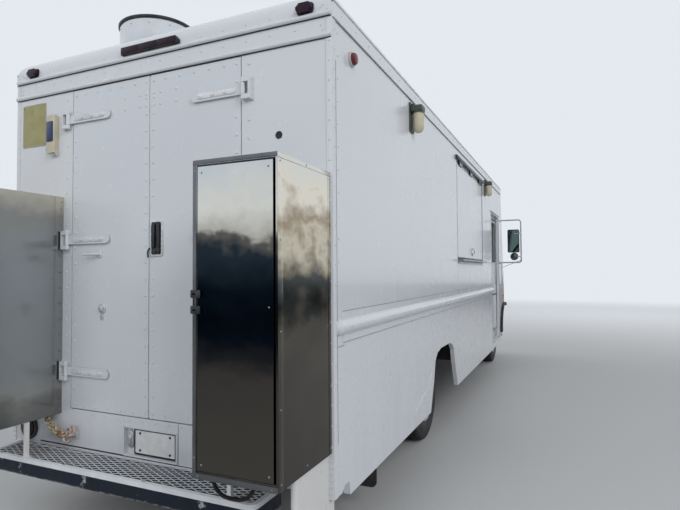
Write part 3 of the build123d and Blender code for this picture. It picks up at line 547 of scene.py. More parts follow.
def rustySteel():
    f = Finish("rustySteel", "black_iron", Metallic=0.4)
    age = f.cloud(9, 6, 0.35, 0.7, rough=0.7)
    f.set("Base Color", f.mix(age, (0.1, 0.09, 0.085), (0.17, 0.08, 0.04)))
    f.set("Roughness", 0.5 + age * 0.3)
    f.bump(f.noise(60, 5, rough=0.7), 0.5, 0.002)


def chainMetal():
    f = Finish("chainMetal", "galvanised", Metallic=0.3)
    colour = f.ramp(f.span(f.along("X") + (f.noise(40, 2) - 0.5) * 0.05, -0.845, -0.6),
                    (0.0, (0.8, 0.8, 0.78)), (0.22, (0.75, 0.68, 0.4)), (0.5, (0.6, 0.42, 0.16)),
                    (0.75, (0.52, 0.27, 0.2)), (1.0, (0.62, 0.45, 0.42)))
    colour = f.mix(f.cloud(32, 2, 0.48, 0.54) * 0.75, colour, (0.78, 0.75, 0.68))
    rust = f.cloud(70, 5, 0.52, 0.6, rough=0.7)
    f.set("Base Color", f.mix(rust * 0.85, colour, (0.07, 0.03, 0.018)))
    f.set("Roughness", 0.42 + rust * 0.35)
    f.bump(f.noise(260, 4) + rust * 0.4, 0.5, 0.001)


def windowGlass():
    f = Finish("windowGlass", "glass", IOR=1.5)
    film = f.cloud(6, 5, 0.4, 0.8)
    f.set("Base Color", f.mix(film * 0.12, (0.02, 0.028, 0.028), (0.2, 0.2, 0.18)))
    f.set("Roughness", 0.02 + film * 0.05)
    f.set("Alpha", 0.5 + film * 0.04)
    f.bump(f.noise(1.5, 2), 0.05, 0.002)


def seatVinyl():
    f = Finish("seatVinyl", "seat_vinyl", Sheen_Weight=0.1)
    pores = f.cells(420, "DISTANCE_TO_EDGE")
    f.set("Base Color", f.mix(f.cloud(10, 4, 0.3, 0.7), (0.045, 0.047, 0.052), (0.075, 0.077, 0.08)))
    f.set("Roughness", f.cloud(25, 3, 0.3, 0.7, 0.38, 0.52))
    f.bump(f.span(pores, 0.0, 0.25) + f.noise(30, 3) * 0.8, 0.35, 0.0012)


def checkeredFloor():
    f = Finish("checkeredFloor", "bare_aluminium", Metallic=0.85)
    grime = f.cloud(2.5, 6, 0.35, 0.75)
    f.set("Base Color", f.mix(grime * 0.6, (0.5, 0.5, 0.5), (0.2, 0.18, 0.15)))
    f.set("Roughness", 0.35 + grime * 0.3)
    f.bump(f.span(f.cells(38, stretch=(1, 1, 0.1)), 0.25, 0.35, 1, 0), 0.4, 0.0015)


lens("redLens", (0.13, 0.008, 0.014))
lens("purpleLens", (0.018, 0.004, 0.014), Specular_IOR_Level=0.2)
lens("clearLens", (0.72, 0.72, 0.7), "lamp_lens", 160)
lens("creamLens", (0.62, 0.56, 0.4), "lamp_lens", 70)
plain("whiteChrome", "white_paint", (0.7, 0.71, 0.72), 0.2, 0.5, 0.1, 40, 0.1, 90, 0.2)
plain("noticeEdge", "cream_plastic", (0.42, 0.4, 0.3), 0.4, dust=0.3)
plain("lampRim", "cream_plastic", (0.56, 0.53, 0.5), 0.4, dust=0.2)
plain("lampGrey", "bare_aluminium", (0.56, 0.57, 0.58), 0.35, 0.4, 0.15, 30, 0.2, 120, 0.3)
plain("dialFace", "black_plastic", (0.03, 0.03, 0.03), 0.3)
for make in (cabinetSteel, tyreRubber, rimPaint, rustySteel, chainMetal, windowGlass, seatVinyl,
             checkeredFloor):
    make()

worn = {  # the CAD nodes that each finish covers
    "bodyPaint": "right_side_wall left_side_wall rear_wall roof windshield_frame nose hood"
                 " right_cab_door left_cab_door",
    "hatchPaint": "serving_hatch hatch_frame",
    "doorPaint": "right_rear_door left_rear_door",
    "cabinetSteel": "cabinets right_cabinet_door left_cabinet_door",
    "fanMetal": "exhaust_fan",
    "undercoatAndArchShade": "floor_boxes",
    "galvanised": "mirrors leaf_springs",
    "navyPaint": "rear_bumper",
    "postPaint": "cabinet_supports",
    "creamPlastic": "rear_box",
    "blackIron": "chassis front_axle rear_axle drive_shaft fuel_tank engine right_knuckle left_knuckle",
    "rustySteel": "exhaust_pipe",
    "trimPaint": "front_bumper",
    "seal": "mud_flaps arch_lips",
    "blackPlastic": "grille",
    "dashPlastic": "dashboard engine_cover",
    "wheelGrip": "steering_wheel",
    "rimPaint": "right_front_wheel left_front_wheel right_rear_wheels left_rear_wheels",
    "windowGlass": "windshield right_cab_door_glass left_cab_door_glass",
    "clearLens": "headlamps",
    "checkeredFloor": "floor",
}
for name, covered in worn.items():
    for node in covered.split():
        mesh = nodes[node].data
        mesh.materials.clear()
        mesh.materials.append(finishes[name].material)
print("finishes made")


sides = {"right": 1, "left": -1}
hinges = {"heights": (0.945, 1.78, 2.562), "boltX": (0.385, 0.47, 0.555), "pinX": 0.676, "padX": 0.727}
rivetRows = {"pitch": 0.1, "seamX": 0.029, "edgeX": 0.622, "wallX": 0.704, "cornerX": 1.186,
             "low": 0.74, "high": 2.715}


def clearOfHinges(z, gap):
    return all(abs(z - height) > gap for height in hinges["heights"])


def bodyRivets():
    pitch, cornerX, low, high = (rivetRows[k] for k in ("pitch", "cornerX", "low", "high"))
    wall, corner = Shape(), Shape()
    for x in (rivetRows["wallX"], -rivetRows["wallX"]):
        wall.rivets([(x, 0, z) for z in steps(0.76, 2.7, pitch) if clearOfHinges(z, 0.075)])
    for z in (2.826, 2.918):
        wall.rivets([(x, 0, z) for x in steps(-1.14, 1.14, 0.152) if z < 2.9 or all(
            abs(x - lamp) > gap for lamp, gap in ((0, 0.25), (-1.04, 0.07), (1.06, 0.07)))], 0.005)
    wall.rivets([(x, 0, 0.685) for x in steps(-0.64, 0.64, pitch)], 0.005)
    corner.rivets([(cornerX, -0.003, z) for z in steps(0.7, 2.74, pitch)], 0.0055)
    for dx in (-0.008, 0.007):
        corner.rivets([(cornerX + dx, -0.003, z) for z in steps(0.47, 0.66, 0.032)], 0.0045)
    corner.rivets([(1.203, 0.022, z) for z in steps(0.5, 2.9, pitch)], 0.0055, facing=(1, 0, 0))
    corner.rivets([(wallX, 0.07, z) for z in steps(0.55, 2.8, 0.12)], 0.005, facing=(1, 0, 0))
    corner.rivets([(x, 0, z) for x, z in ((1.15, 2.93), (1.178, 2.905), (1.178, 2.85), (1.178, 2.825),
                                          (1.15, 2.8))], 0.005)
    corner.both()
    piece("bodyRivets", wall.add(corner.points, corner.faces), "postPaint")
    for name, side in sides.items():
        spots = [(rivetRows["seamX"], z) for z in steps(low, high, pitch) if side < 0 or not 1.6 < z < 1.93]
        spots += [(rivetRows["edgeX"], z) for z in steps(low, high, pitch)]
        spots += [(x, z) for z in (2.715, 0.735) for x in steps(0.12, 0.54, pitch)]
        spots += [(x, z) for z in (2.64, 2.57) for x in (0.03, 0.08, 0.2)]
        door = Shape().rivets([(side * x, 0, z) for x, z in spots if x < 0.31 or clearOfHinges(z, 0.035)])
        piece(name + "DoorRivets", door, "postPaint", name + "_rear_door")


def cornerTrim():
    # folded strips on the rear corners, their sealing line, and the roof's drip edge
    strip, line, gap, drip, rail, scratch = (Shape() for part in range(6))
    strip.slab("z", [(1.168, -0.003), (1.198, -0.003), (1.2015, -0.0015), (1.203, 0.002), (1.203, 0.037),
                     (wallX, 0.037), (wallX, 0.0), (1.168, 0.0)], 0.441, 2.856)
    piece("cornerStrips", strip.both(), "bodyPaint")
    line.box((wallX, 0.0385, 0.7), (1.2022, 0.0445, 2.65))
    line.box((wallX, 0.06, 2.8535), (1.2022, 6.78, 2.8563))
    for low in (1.3597, 1.1988):
        line.box((wallX, 0.112, low), (1.2042, 5.62, low + 0.0015))
    # the mid-grey strips under the two rear mouldings are painted shade
    for z in (2.752, 2.864):
        line.box((-1.197, -0.006, z), (1.197, 0.0, z + 0.005), 0.001)
    piece("sealAndShadeLines", line.both(), "sealantAndShade")
    # black strips along the rear wall's foot above the step: painted shade in the gap between wall and step
    gap.box((-0.93, -0.0022, 0.4563), (0.0, 0.0, 0.4745), 0.0005)
    gap.box((0.0, -0.0022, 0.4563), (0.9, 0.0, 0.4705), 0.0005)
    piece("stepGapShade", gap, "seal")
    drip.tube([(1.2085, 0.002, 2.943), (1.2085, 6.778, 2.943)], 0.0055, 8)
    drip.box((wallX, 0.0, 2.934), (1.2125, 6.78, 2.943), 0.001)
    piece("dripEdges", drip.both(), "galvanised")
    for x, ys, zs, radius in ((1.2335, steps(0.16, 5.5, 0.356), (1.28,), 0.006),
                              (1.203, steps(0.2, 5.5, 0.36), (1.212, 1.348), 0.004),
                              (1.211, steps(0.1, 6.7, 0.2), (2.9,), 0.0045)):
        rail.rivets([(x, y, z) for y in ys for z in zs], radius, facing=(1, 0, 0))
    piece("railRivets", rail.both(), "trimPaint")
    piece("railScratch", scratch.box((wallX, 0.012, 1.181), (1.2016, 0.13, 1.1865), 0.0005), "aluminium")


def rearSeams():
    # rubber in the rear doorway's gaps; the centre strip goes with the right door
    frameSeal = Shape()
    for low, high in ((-0.655, -0.6512), (0.6512, 0.655)):
        frameSeal.box((low, 0.012, 0.705), (high, 0.032, 2.755), 0.001)
    for low in (0.7055, 2.7515):
        frameSeal.box((-0.655, 0.012, low), (0.655, 0.03, low + 0.003), 0.001)
    piece("doorwaySeal", frameSeal, "seal")
    middle = Shape().box((-0.001, 0.018, 0.713), (0.0056, 0.036, 2.747), 0.0015)
    piece("middleSeal", middle, "seal", "right_rear_door")
    cover = Shape().box((-0.0025, 0.001, 0.7145), (0.0056, 0.0032, 2.7455), 0.0005)
    piece("middleStrip", cover, "doorPaint", "right_rear_door")
    seam = Shape().box((0.2215, -0.0008, 0.456), (0.2235, 0.0, 0.7))
    piece("rearPanelSeams", seam.box((-0.66, -0.0007, 0.4563), (0.66, 0.0, 0.459)), "seal")


def hingeDetails():
    pinX = hinges["pinX"]
    for name, side in sides.items():
        strap = Shape()
        for z in hinges["heights"]:
            strap.slab("y", (0.36, 0.63, z - 0.0155, z + 0.0155, 0.0145), -0.0168, -0.013, 0.0018)
            for x in hinges["boltX"]:
                strap.spin([(0, 0.0105), (0.003, 0.0105), (0.005, 0.0075), (0.0062, 0)], (x, -0.0165, z), 12)
            strap.spin([(0, 0.011), (0.002, 0.0105), (0.0035, 0)], (pinX, -0.02, z + 0.059), 14, (0, 0, 1))
        piece(name + "StrapBolts", strap if side > 0 else strap.flip(), "trimPaint", name + "_rear_door")
    fixed = Shape()
    for z in hinges["heights"]:
        for dz in (-0.058, 0.058):
            fixed.spin([(0, 0.0065), (0.0025, 0.006), (0.004, 0)], (hinges["padX"], -0.005, z + dz), 10)
        for up in (1, -1):
            fixed.spin([(0, 0.0085), (0.004, 0.008), (0.006, 0)], (pinX, -0.02, z + up * 0.059), 12,
                       (0, 0, up))
    piece("hingeBolts", fixed.both(), "trimPaint")


latch = {"low": 1.662, "high": 1.876, "left": 0.008, "right": 0.106}


def doorFittings():
    low, high, left, right = (latch[k] for k in ("low", "high", "left", "right"))
    pan, inner, handle, lock = Shape(), Shape(), Shape(), Shape()
    pan.rim("y", (left, right, low, high, 0.016), 0.012, -0.006, 0.0, 0.01)
    pan.rim("y", (left + 0.004, right - 0.004, low + 0.004, high - 0.004, 0.014), 0.006,
            -0.0085, -0.005, 0.011)
    piece("latchRim", pan, "trimPaint", "right_rear_door")
    inner.slab("y", (left + 0.009, right - 0.009, low + 0.009, high - 0.009, 0.01), -0.0035, 0.0)
    for x in (left + 0.03, right - 0.03):
        inner.slab("y", (x - 0.011, x + 0.011, low + 0.05, high - 0.02, 0.01), -0.014, -0.003, 0.006, 3)
    inner.slab("y", (left + 0.02, right - 0.02, low + 0.016, low + 0.044, 0.012), -0.012, -0.003, 0.004, 3)
    inner.tube(bent([(left + 0.004, -0.01, low + 0.052), (left - 0.004, -0.02, low + 0.03),
                     (left + 0.002, -0.022, low - 0.006)], 0.01), 0.0045, 8)
    inner.spin([(0, 0.011), (0.004, 0.011), (0.0055, 0.009), (0.0055, 0.004), (0.003, 0.003), (0.003, 0)],
               ((left + right) / 2, -0.012, low + 0.03))
    piece("latchPan", inner, "darkSteel", "right_rear_door")
    handle.slab("y", (-0.43, -0.385, 1.664, 1.706, 0.01), -0.006, 0.0, 0.002)
    handle.tube(bent([(-0.405, -0.004, 1.685), (-0.405, -0.028, 1.685), (-0.515, -0.03, 1.683)], 0.014),
                [0.008] * 8 + [0.0065], 10)
    handle.spin([(0, 0), (0.001, 0.007), (0.006, 0.0085), (0.012, 0.006), (0.014, 0)],
                (-0.509, -0.03, 1.683), 10, (-1, 0, 0))
    piece("doorHandle", handle, "trimPaint", "left_rear_door")
    lock.spin([(0, 0.031), (0.004, 0.031), (0.007, 0.027), (0.008, 0.02), (0.02, 0.017), (0.023, 0.013),
               (0.023, 0.004), (0.019, 0.003), (0.019, 0)], (-0.38, 0, 1.347), 28)
    lock.slab("y", (-0.394, -0.37, 1.275, 1.312, 0.006), -0.004, 0.0, 0.001)
    piece("doorLock", lock, "whiteChrome", "left_rear_door")
    hole = Shape().spin([(0, 0.021), (0.003, 0.02), (0.004, 0.015), (0.002, 0.011), (0.0005, 0)],
                        (0.89, 0, 2.288), 24)
    piece("cableGrommet", hole, "seal")


def rearNotice():
    sheet, border, window, bits = Shape(), Shape(), Shape(), Shape()
    sheet.slab("y", (-1.136, -0.914, 2.427, 2.71, 0.008), -0.0025, 0.0, 0.0006, 1)
    sheet.rivets([(x, -0.0025, z) for x in (-1.122, -0.928) for z in (2.441, 2.696)], 0.005)
    piece("blankNotice", sheet, "ochreSheet")
    border.rim("y", (-1.139, -0.911, 2.424, 2.713, 0.01), 0.007, -0.0032, 0.0, 0.006)
    piece("noticeEdge", border, "noticeEdge")
    window.slab("y", (-0.856, -0.796, 2.432, 2.566, 0.004), -0.0392, -0.037, 0.0008)
    piece("boxWindow", window, "navyPanel")
    bits.slab("y", (-0.85, -0.802, 2.6, 2.626, 0.006), -0.012, 0.0, 0.001)
    bits.rivets([(-0.838, -0.012, 2.616), (-0.812, -0.012, 2.616)], 0.0045)
    bits.slab("y", (-0.845, -0.79, 2.342, 2.362, 0.006), -0.02, 0.0, 0.002)
    bits.tube(bent([(-0.86, -0.012, 2.408), (-0.888, -0.02, 2.4), (-0.885, -0.02, 2.372),
                    (-0.84, -0.024, 2.36)], 0.02), 0.0035, 8)
    bits.tube(bent([(-0.83, -0.026, 2.36), (-0.805, -0.03, 2.345), (-0.785, -0.02, 2.352),
                    (-0.782, -0.004, 2.37)], 0.012), 0.003, 8)
    piece("boxBracket", bits, "trimPaint")


def redLamps():
    lenses, housings, markers, rims = Shape(), Shape(), Shape(), Shape()
    for x in (-1.035, 1.05):
        housings.slab("y", (x - 0.049, x + 0.049, 2.9, 2.956, 0.014), -0.006, 0.0, 0.002)
        lenses.slab("y", (x - 0.046, x + 0.046, 2.903, 2.953, 0.017), -0.026, -0.005, 0.011, 4)
    bar = [(-0.22, 2.903), (-0.22, 2.95), (0.203, 2.95), (0.226, 2.926), (0.226, 2.903)]
    housings.slab("y", bar, -0.02, 0.0, 0.002)
    for x in (-0.216, -0.074, 0.068):
        lenses.slab("y", (x, x + 0.139, 2.909, 2.944, 0.006), -0.024, -0.018, 0.003, 2)
    for side in (-1, 1):
        tail, marker, outward = (side * 1.035, 0, 0.547), (side * wallX, 0.25, 2.73), (side, 0, 0)
        housings.spin([(0, 0.078), (0.01, 0.078), (0.014, 0.074), (0.014, 0.06)], tail, 44)
        lenses.spin([(0.01, 0.061), (0.018, 0.058), (0.022, 0.046), (0.024, 0.022), (0.024, 0)], tail, 44)
        rims.spin([(0, 0.041), (0.01, 0.041), (0.014, 0.037), (0.014, 0.034)], marker, 40, outward)
        markers.spin([(0.008, 0.0345), (0.024, 0.0335), (0.033, 0.027), (0.037, 0.014), (0.038, 0)],
                     marker, 40, outward)
    lamps = piece("lampLenses", lenses, "purpleLens")
    piece("lampHousings", housings, "seal")
    piece("markerLenses", markers, "redLens")
    piece("lampRims", rims, "lampRim")
    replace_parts(lamps, "red_lamps")


flood = {"x": 1.258, "y": (1.42, 5.07), "ribs": 24}


def floodLamps():
    plate, jar, hood = Shape(), Shape(), Shape()
    x = flood["x"]
    for y in flood["y"]:
        plate.slab("x", (y - 0.055, y + 0.055, 2.61, 2.83, 0.01), wallX, 1.21, 0.003)
        plate.rivets([(1.21, y + dy, 2.62) for dy in (-0.04, 0.04)], 0.005, facing=(1, 0, 0))
        jar.spin([(0, 0), (0.004, 0.018), (0.016, 0.033), (0.036, 0.0405), (0.05, 0.042), (0.15, 0.042),
                  (0.158, 0.038)], (x, y, 2.6), 32, (0, 0, 1))
        for u, v in circle(x, y, 0.0405, flood["ribs"]):
            jar.tube([(u, v, 2.642), (u, v, 2.75)], 0.0022, 5)
        hood.box((1.208, y - 0.05, 2.758), (1.3, y + 0.05, 2.806), 0.012, 4)
        hood.spin([(0, 0.046), (0.012, 0.046), (0.014, 0.043)], (x, y, 2.748), 32, (0, 0, 1))
        hood.box((1.208, y - 0.02, 2.8), (1.232, y + 0.02, 2.826), 0.006, 3)
    piece("floodPlates", plate, "hoodPaint")
    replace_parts(piece("floodJars", jar, "creamLens"), "flood_lamps")
    piece("floodHoods", hood, "hoodPaint")


plate = {"left": -0.114, "right": 0.191, "low": 0.4935, "high": 0.6325}


def licencePlate():
    left, right, low, high = plate.values()
    recess, sheet, bits, lamp = Shape(), Shape(), Shape(), Shape()
    recess.rim("y", (-0.202, 0.217, 0.472, 0.652, 0.008), 0.012, -0.003, 0.0, 0.004)
    recess.rivets([(x, -0.003, z) for x in (-0.196, 0.0, 0.211) for z in (0.478, 0.646)], 0.004)
    piece("recessFrame", recess, "bodyPaint")
    sheet.slab("y", (left, right, low, high, 0.01), 0.011, 0.0125)
    sheet.rim("y", (left + 0.002, right - 0.002, low + 0.002, high - 0.002, 0.009), 0.005,
              0.0095, 0.0115, 0.007)
    piece("plateSheet", sheet, "plateSheet")
    for x in (-0.075, 0.152):
        for z in (0.513, 0.613):
            bits.spin([(0, 0.0075), (0.003, 0.0072), (0.0042, 0)], (x, 0.011, z), 6)
    bits.rim("y", (left - 0.006, right + 0.006, low - 0.006, high + 0.006, 0.008), 0.009,
             0.0085, 0.0215, 0.006)
    piece("plateFrame", bits, "darkSteel")
    lamp.slab("y", (-0.176, -0.13, 0.52, 0.622, 0.02), 0.01, 0.022, 0.003)
    lamp.spin([(0, 0.018), (0.006, 0.017), (0.01, 0.01), (0.011, 0)], (-0.153, 0.011, 0.582), 20)
    lamp.tube(bent([(-0.153, 0.0, 0.575), (-0.146, -0.002, 0.55), (-0.158, 0.004, 0.53)], 0.01), 0.003, 6)
    piece("plateLamp", lamp, "lampGrey")


chain = {
    "route": [(-0.84, -0.022, 0.642), (-0.806, -0.036, 0.6), (-0.75, -0.038, 0.545), (-0.655, -0.034, 0.545)],
    "links": 8, "wire": 0.0068, "width": 0.019, "straight": 0.005,
    "bunch": [  # middle, long axis and short axis of each link that lies heaped at the eye
        ((-0.622, -0.034, 0.566), (0.3, 0.1, 1.0), (1.0, 0.0, -0.3)),
        ((-0.598, -0.036, 0.545), (1.0, 0.2, 0.5), (0.0, 1.0, -0.4)),
        ((-0.634, -0.042, 0.528), (0.8, 0.0, -0.6), (0.6, 0.2, 0.8)),
        ((-0.6, -0.03, 0.578), (-0.5, 0.3, 0.8), (0.8, 0.0, 0.5)),
    ],
}


def chainLink(shape, middle, along, side):
    oval = []
    for k, (u, v) in enumerate(circle(0, 0, chain["width"], 16)):
        shift = math.copysign(chain["straight"], u) if k % 8 != 4 else 0.0
        oval.append(middle + along * (shift + u) + side * v)
    shape.tube(oval, chain["wire"], 8, True)


def towChain():
    start, first, second, end = (Vector(p) for p in chain["route"])
    path = []
    for k in range(chain["links"] + 1):
        t = k / chain["links"]
        path.append(start * (1 - t) ** 3 + first * 3 * t * (1 - t) ** 2 + second * 3 * t * t * (1 - t)
                    + end * t ** 3)
    links, eye = Shape(), Shape()
    for i, (here, ahead) in enumerate(zip(path, path[1:])):
        along = (ahead - here).normalized()
        side = along.cross(Vector((0, 1, 0))).normalized()
        chainLink(links, (here + ahead) / 2, along, side.cross(along) if i % 2 else side)
    for middle, along, side in chain["bunch"]:
        along = Vector(along).normalized()
        side = (Vector(side) - along * along.dot(Vector(side))).normalized()
        chainLink(links, Vector(middle), along, side)
    piece("safetyChain", links, "chainMetal")
    eye.box((-0.62, -0.006, 0.526), (-0.588, 0.0, 0.563), 0.002)
    ring = [(x, -0.01 - 0.011 * math.sin(math.pi * k / 14), z)
            for k, (x, z) in enumerate(circle(-0.604, 0.545, 0.012, 14))]
    eye.tube(ring, 0.0035, 8, True)
    eye.box((-0.864, -0.006, 0.625), (-0.838, 0.0, 0.652), 0.002)
    piece("chainEyes", eye, "trimPaint")


cabinet = {"rightInner": 0.752, "leftInner": 0.735, "outer": 1.187, "depth": 0.515,
           "low": 0.668, "high": 2.064}


def cabinetDetails():
    low, high, outer, rear = cabinet["low"], cabinet["high"], cabinet["outer"], -cabinet["depth"]
    gathered = [Shape() for part in range(4)]
    for name, side in sides.items():
        inner = cabinet[name + "Inner"]
        gasket, strip, screw, rim, leaf, hasp = (Shape() for part in range(6))
        gasket.box((outer - 0.0135, rear + 0.007, low + 0.026), (outer - 0.008, rear + 0.02, high - 0.022),
                   0.001)
        for end, foot, head in ((inner + 0.0245, low + 0.026, high - 0.022),
                                (outer - 0.008, high - 0.0275, high - 0.022),
                                (outer - 0.008, low + 0.026, low + 0.033)):
            gasket.box((inner + 0.02, rear + 0.0012, foot), (end, rear + 0.022, head), 0.0006)
        rim.box((inner, rear - 0.0011, high - 0.0205), (outer, rear + 0.0004, high), 0.0005)
        rim.box((inner, rear - 0.0011, low), (outer, rear + 0.0004, low + 0.0245), 0.0005)
        rim.box((inner, rear - 0.0009, low + 0.0245), (inner + 0.0185, rear + 0.0004, high - 0.0205), 0.0004)
        for back, front, proud, foot, head in (
                (rear + 0.001, rear + 0.043, 0.0014, low + 0.001, high - 0.024),
                (-0.03, -0.001, 0.0014, low + 0.001, high - 0.024),
                (rear + 0.001, -0.001, 0.0018, high - 0.0225, high - 0.0012)):
            strip.box((outer - 0.0005, back, foot), (outer + proud, front, head), 0.0005)
        for z in (low + 0.03, 1.0, 1.32, 1.7, high - 0.035):
            for x, radius, way in ((outer + 0.0014, 0.0048, 1), (inner, 0.005, -1)):
                screw.rivets([(x, y, z) for y in (rear + 0.022, -0.014)], radius, 0.0025, (way, 0, 0))
        screw.rivets([(outer, -0.26, low + 0.03), (outer + 0.0018, -0.26, high - 0.012)], 0.0048, 0.0025,
                     (1, 0, 0))
        screw.rivets([(inner + 0.009, rear - 0.0009, z) for z in (low + 0.09, high - 0.05)], 0.004, 0.002)
        screw.rivets([(x, rear - 0.0011, low + 0.012) for x in (inner + 0.03, outer - 0.03)], 0.004, 0.002)
        left, right = inner + 0.026, outer - 0.021
        for x in (left + 0.022, right - 0.022):
            leaf.rivets([(x, rear, z) for z in (low + 0.062, high - 0.058)], 0.0052, 0.0025)
        leaf.rivets([(right - 0.02, rear, 1.42)], 0.0045, 0.0025)
        for top in (1.489, 1.419):
            hasp.slab("y", (inner - 0.0048, left + 0.0218, top - 0.0348, top - 0.0002, 0.006),
                      rear - 0.0094, rear - 0.008, 0.0005)
            hasp.spin([(0, 0.0052), (0.004, 0.0052), (0.0055, 0.003), (0.0055, 0)],
                      (inner + 0.015, rear - 0.0094, top - 0.0175), 12)
            hasp.rivets([(left + 0.012, rear - 0.0094, top - dz) for dz in (0.009, 0.026)], 0.0035, 0.002)
        hasp.box((inner + 0.004, rear - 0.004, 1.421), (inner + 0.009, rear - 0.0005, 1.453), 0.001)
        if side < 0:
            for part in (gasket, strip, screw, rim, leaf, hasp):
                part.flip()
        for whole, part in zip(gathered, (gasket, strip, rim, screw)):
            whole.add(part.points, part.faces)
        piece(name + "CabinetScrews", leaf, "screwMetal", name + "_cabinet_door")
        piece(name + "CabinetHasps", hasp, "darkSteel", name + "_cabinet_door")
    for (name, finish), whole in zip((("Gaskets", "seal"), ("Strips", "cabinetSteel"), ("Rims", "rimSteel"),
                                      ("Screws", "screwMetal")), gathered):
        piece("cabinet" + name, whole, finish)
    collar = Shape()
    for x in (0.78, 1.01):
        collar.spin([(0, 0.019), (0.004, 0.019), (0.006, 0.014), (0.016, 0.0125), (0.018, 0.0095)],
                    (x, -0.412, low), 20, (0, 0, -1))
    piece("hoseCollars", collar, "darkSteel")


hatch = {"rear": 3.13, "front": 4.785, "low": 1.71, "high": 2.73, "gap": 0.0055, "catchY": 3.995}


def hatchDetails():
    rear, front, low, high, gap, catchY = hatch.values()
    seam, trim, bar, catch, lip = (Shape() for part in range(5))
    seam.rim("x", (rear - gap, front + gap, low - gap, high + gap), 0.0035, 1.165, 1.201)
    piece("hatchSeal", seam, "seal")
    trim.ring("x", (rear + 0.003, front - 0.003, low + 0.003, 2.7),
              (rear + 0.02, front - 0.02, low + 0.02, 2.69), wallX, 1.2012)
    piece("hatchEdge", trim, "bodyPaint", "serving_hatch")
    bar.box((1.1995, rear - 0.07, 2.744), (1.2225, front + 0.045, 2.782), 0.004, 3)
    # the two thin black strips along the hatch's front edge and over the ledge are painted shade in the gaps
    bar.box((wallX, front + gap, 1.7), (1.2035, front + 0.015, 2.744), 0.001)
    bar.box((wallX, rear - gap, 1.6865), (1.204, front + gap, 1.7042), 0.001)
    piece("hatchDripBarAndGapShade", bar, "blackPlastic")
    catch.slab("x", (catchY - 0.04, catchY + 0.04, 1.745, 1.842, 0.01), wallX, 1.2045, 0.0015)
    catch.tube(bent([(1.204, catchY, 1.83), (1.226, catchY, 1.825), (1.228, catchY, 1.765)], 0.014),
               [0.009] * 8 + [0.006])
    catch.spin([(0, 0.012), (0.008, 0.012), (0.01, 0.008), (0.01, 0)], (1.2045, catchY, 1.768), 14, (1, 0, 0))
    piece("hatchCatch", catch, "chrome", "serving_hatch")
    lip.box((1.2535, rear + 0.01, 1.669), (1.2575, front - 0.01, 1.688), 0.0015)
    lip.rivets([(1.206, y, 1.662) for y in steps(3.2, 4.7, 0.15)], 0.0045, facing=(1, 0, 0))
    lip.box((wallX, rear + 0.01, 1.6835), (1.2545, front - 0.01, 1.6858), 0.0008)
    piece("ledgeLip", lip, "galvanised")


def cabDetails():
    for name, side in sides.items():
        rubber, pull = Shape(), Shape()
        for low, high in ((1.1135, 1.1165), (1.1515, 1.1555)):
            rubber.rim("x", (5.878, 6.412, 1.698, 2.332, 0.06, 6), 0.03, low, high, 0.038, 6)
        rubber.box((1.1515, 5.74, 2.362), (1.1562, 6.44, 2.39), 0.0015)
        rubber.box((1.1515, 5.665, 1.18), (1.156, 6.495, 1.2), 0.0015)
        pull.slab("x", (6.36, 6.44, 1.36, 1.5, 0.012), 1.1515, 1.1548, 0.001)
        pull.tube(bent([(1.1545, 6.375, 1.44), (1.156, 6.38, 1.44), (1.156, 6.43, 1.44)], 0.004), 0.0018, 8)
        pull.spin([(0, 0.011), (0.002, 0.011), (0.003, 0.008), (0.002, 0)], (1.1545, 6.4, 1.39),
                  facing=(1, 0, 0))
        pull.slab("x", (5.69, 6.47, 0.52, 0.66, 0.008), 1.152, 1.1535, 0.0005)
        if side < 0:
            rubber.flip()
            pull.flip()
        piece(name + "WindowRubber", rubber, "seal", name + "_cab_door")
        piece(name + "DoorPull", pull, "chrome", name + "_cab_door")
    grab, edge, drip, marker = Shape(), Shape(), Shape(), Shape()
    grab.tube(bent([(1.199, 6.57, 1.7), (1.238, 6.57, 1.7), (1.238, 6.57, 1.33), (1.199, 6.57, 1.33)], 0.03),
              0.011, 12)
    for z in (1.7, 1.33):
        grab.spin([(0, 0.024), (0.004, 0.024), (0.006, 0.018), (0.006, 0)], (wallX, 6.57, z), 20, (1, 0, 0))
    piece("grabRails", grab.both(), "chrome")
    edge.rim("x", (5.648, 6.512, 0.488, 2.442), 0.012, 1.1985, 1.2035)
    piece("doorwayEdges", edge.both(), "aluminium")
    drip.slab("x", [(5.63, 2.452), (6.53, 2.452), (6.545, 2.462), (5.615, 2.462)], wallX, 1.217, 0.001)
    piece("doorDrips", drip.both(), "bodyPaint")
    marker.spin([(0, 0.034), (0.006, 0.034), (0.008, 0.029), (0.017, 0.024), (0.021, 0)],
                (wallX, 6.95, 1.14), 28, (1, 0, 0))
    piece("sideMarkers", marker.both(), "amberLens")


mirror = {"y": 6.75, "glass": (1.326, 1.491, 1.877, 2.241, 0.018), "spotX": 1.42, "spotZ": 1.8}


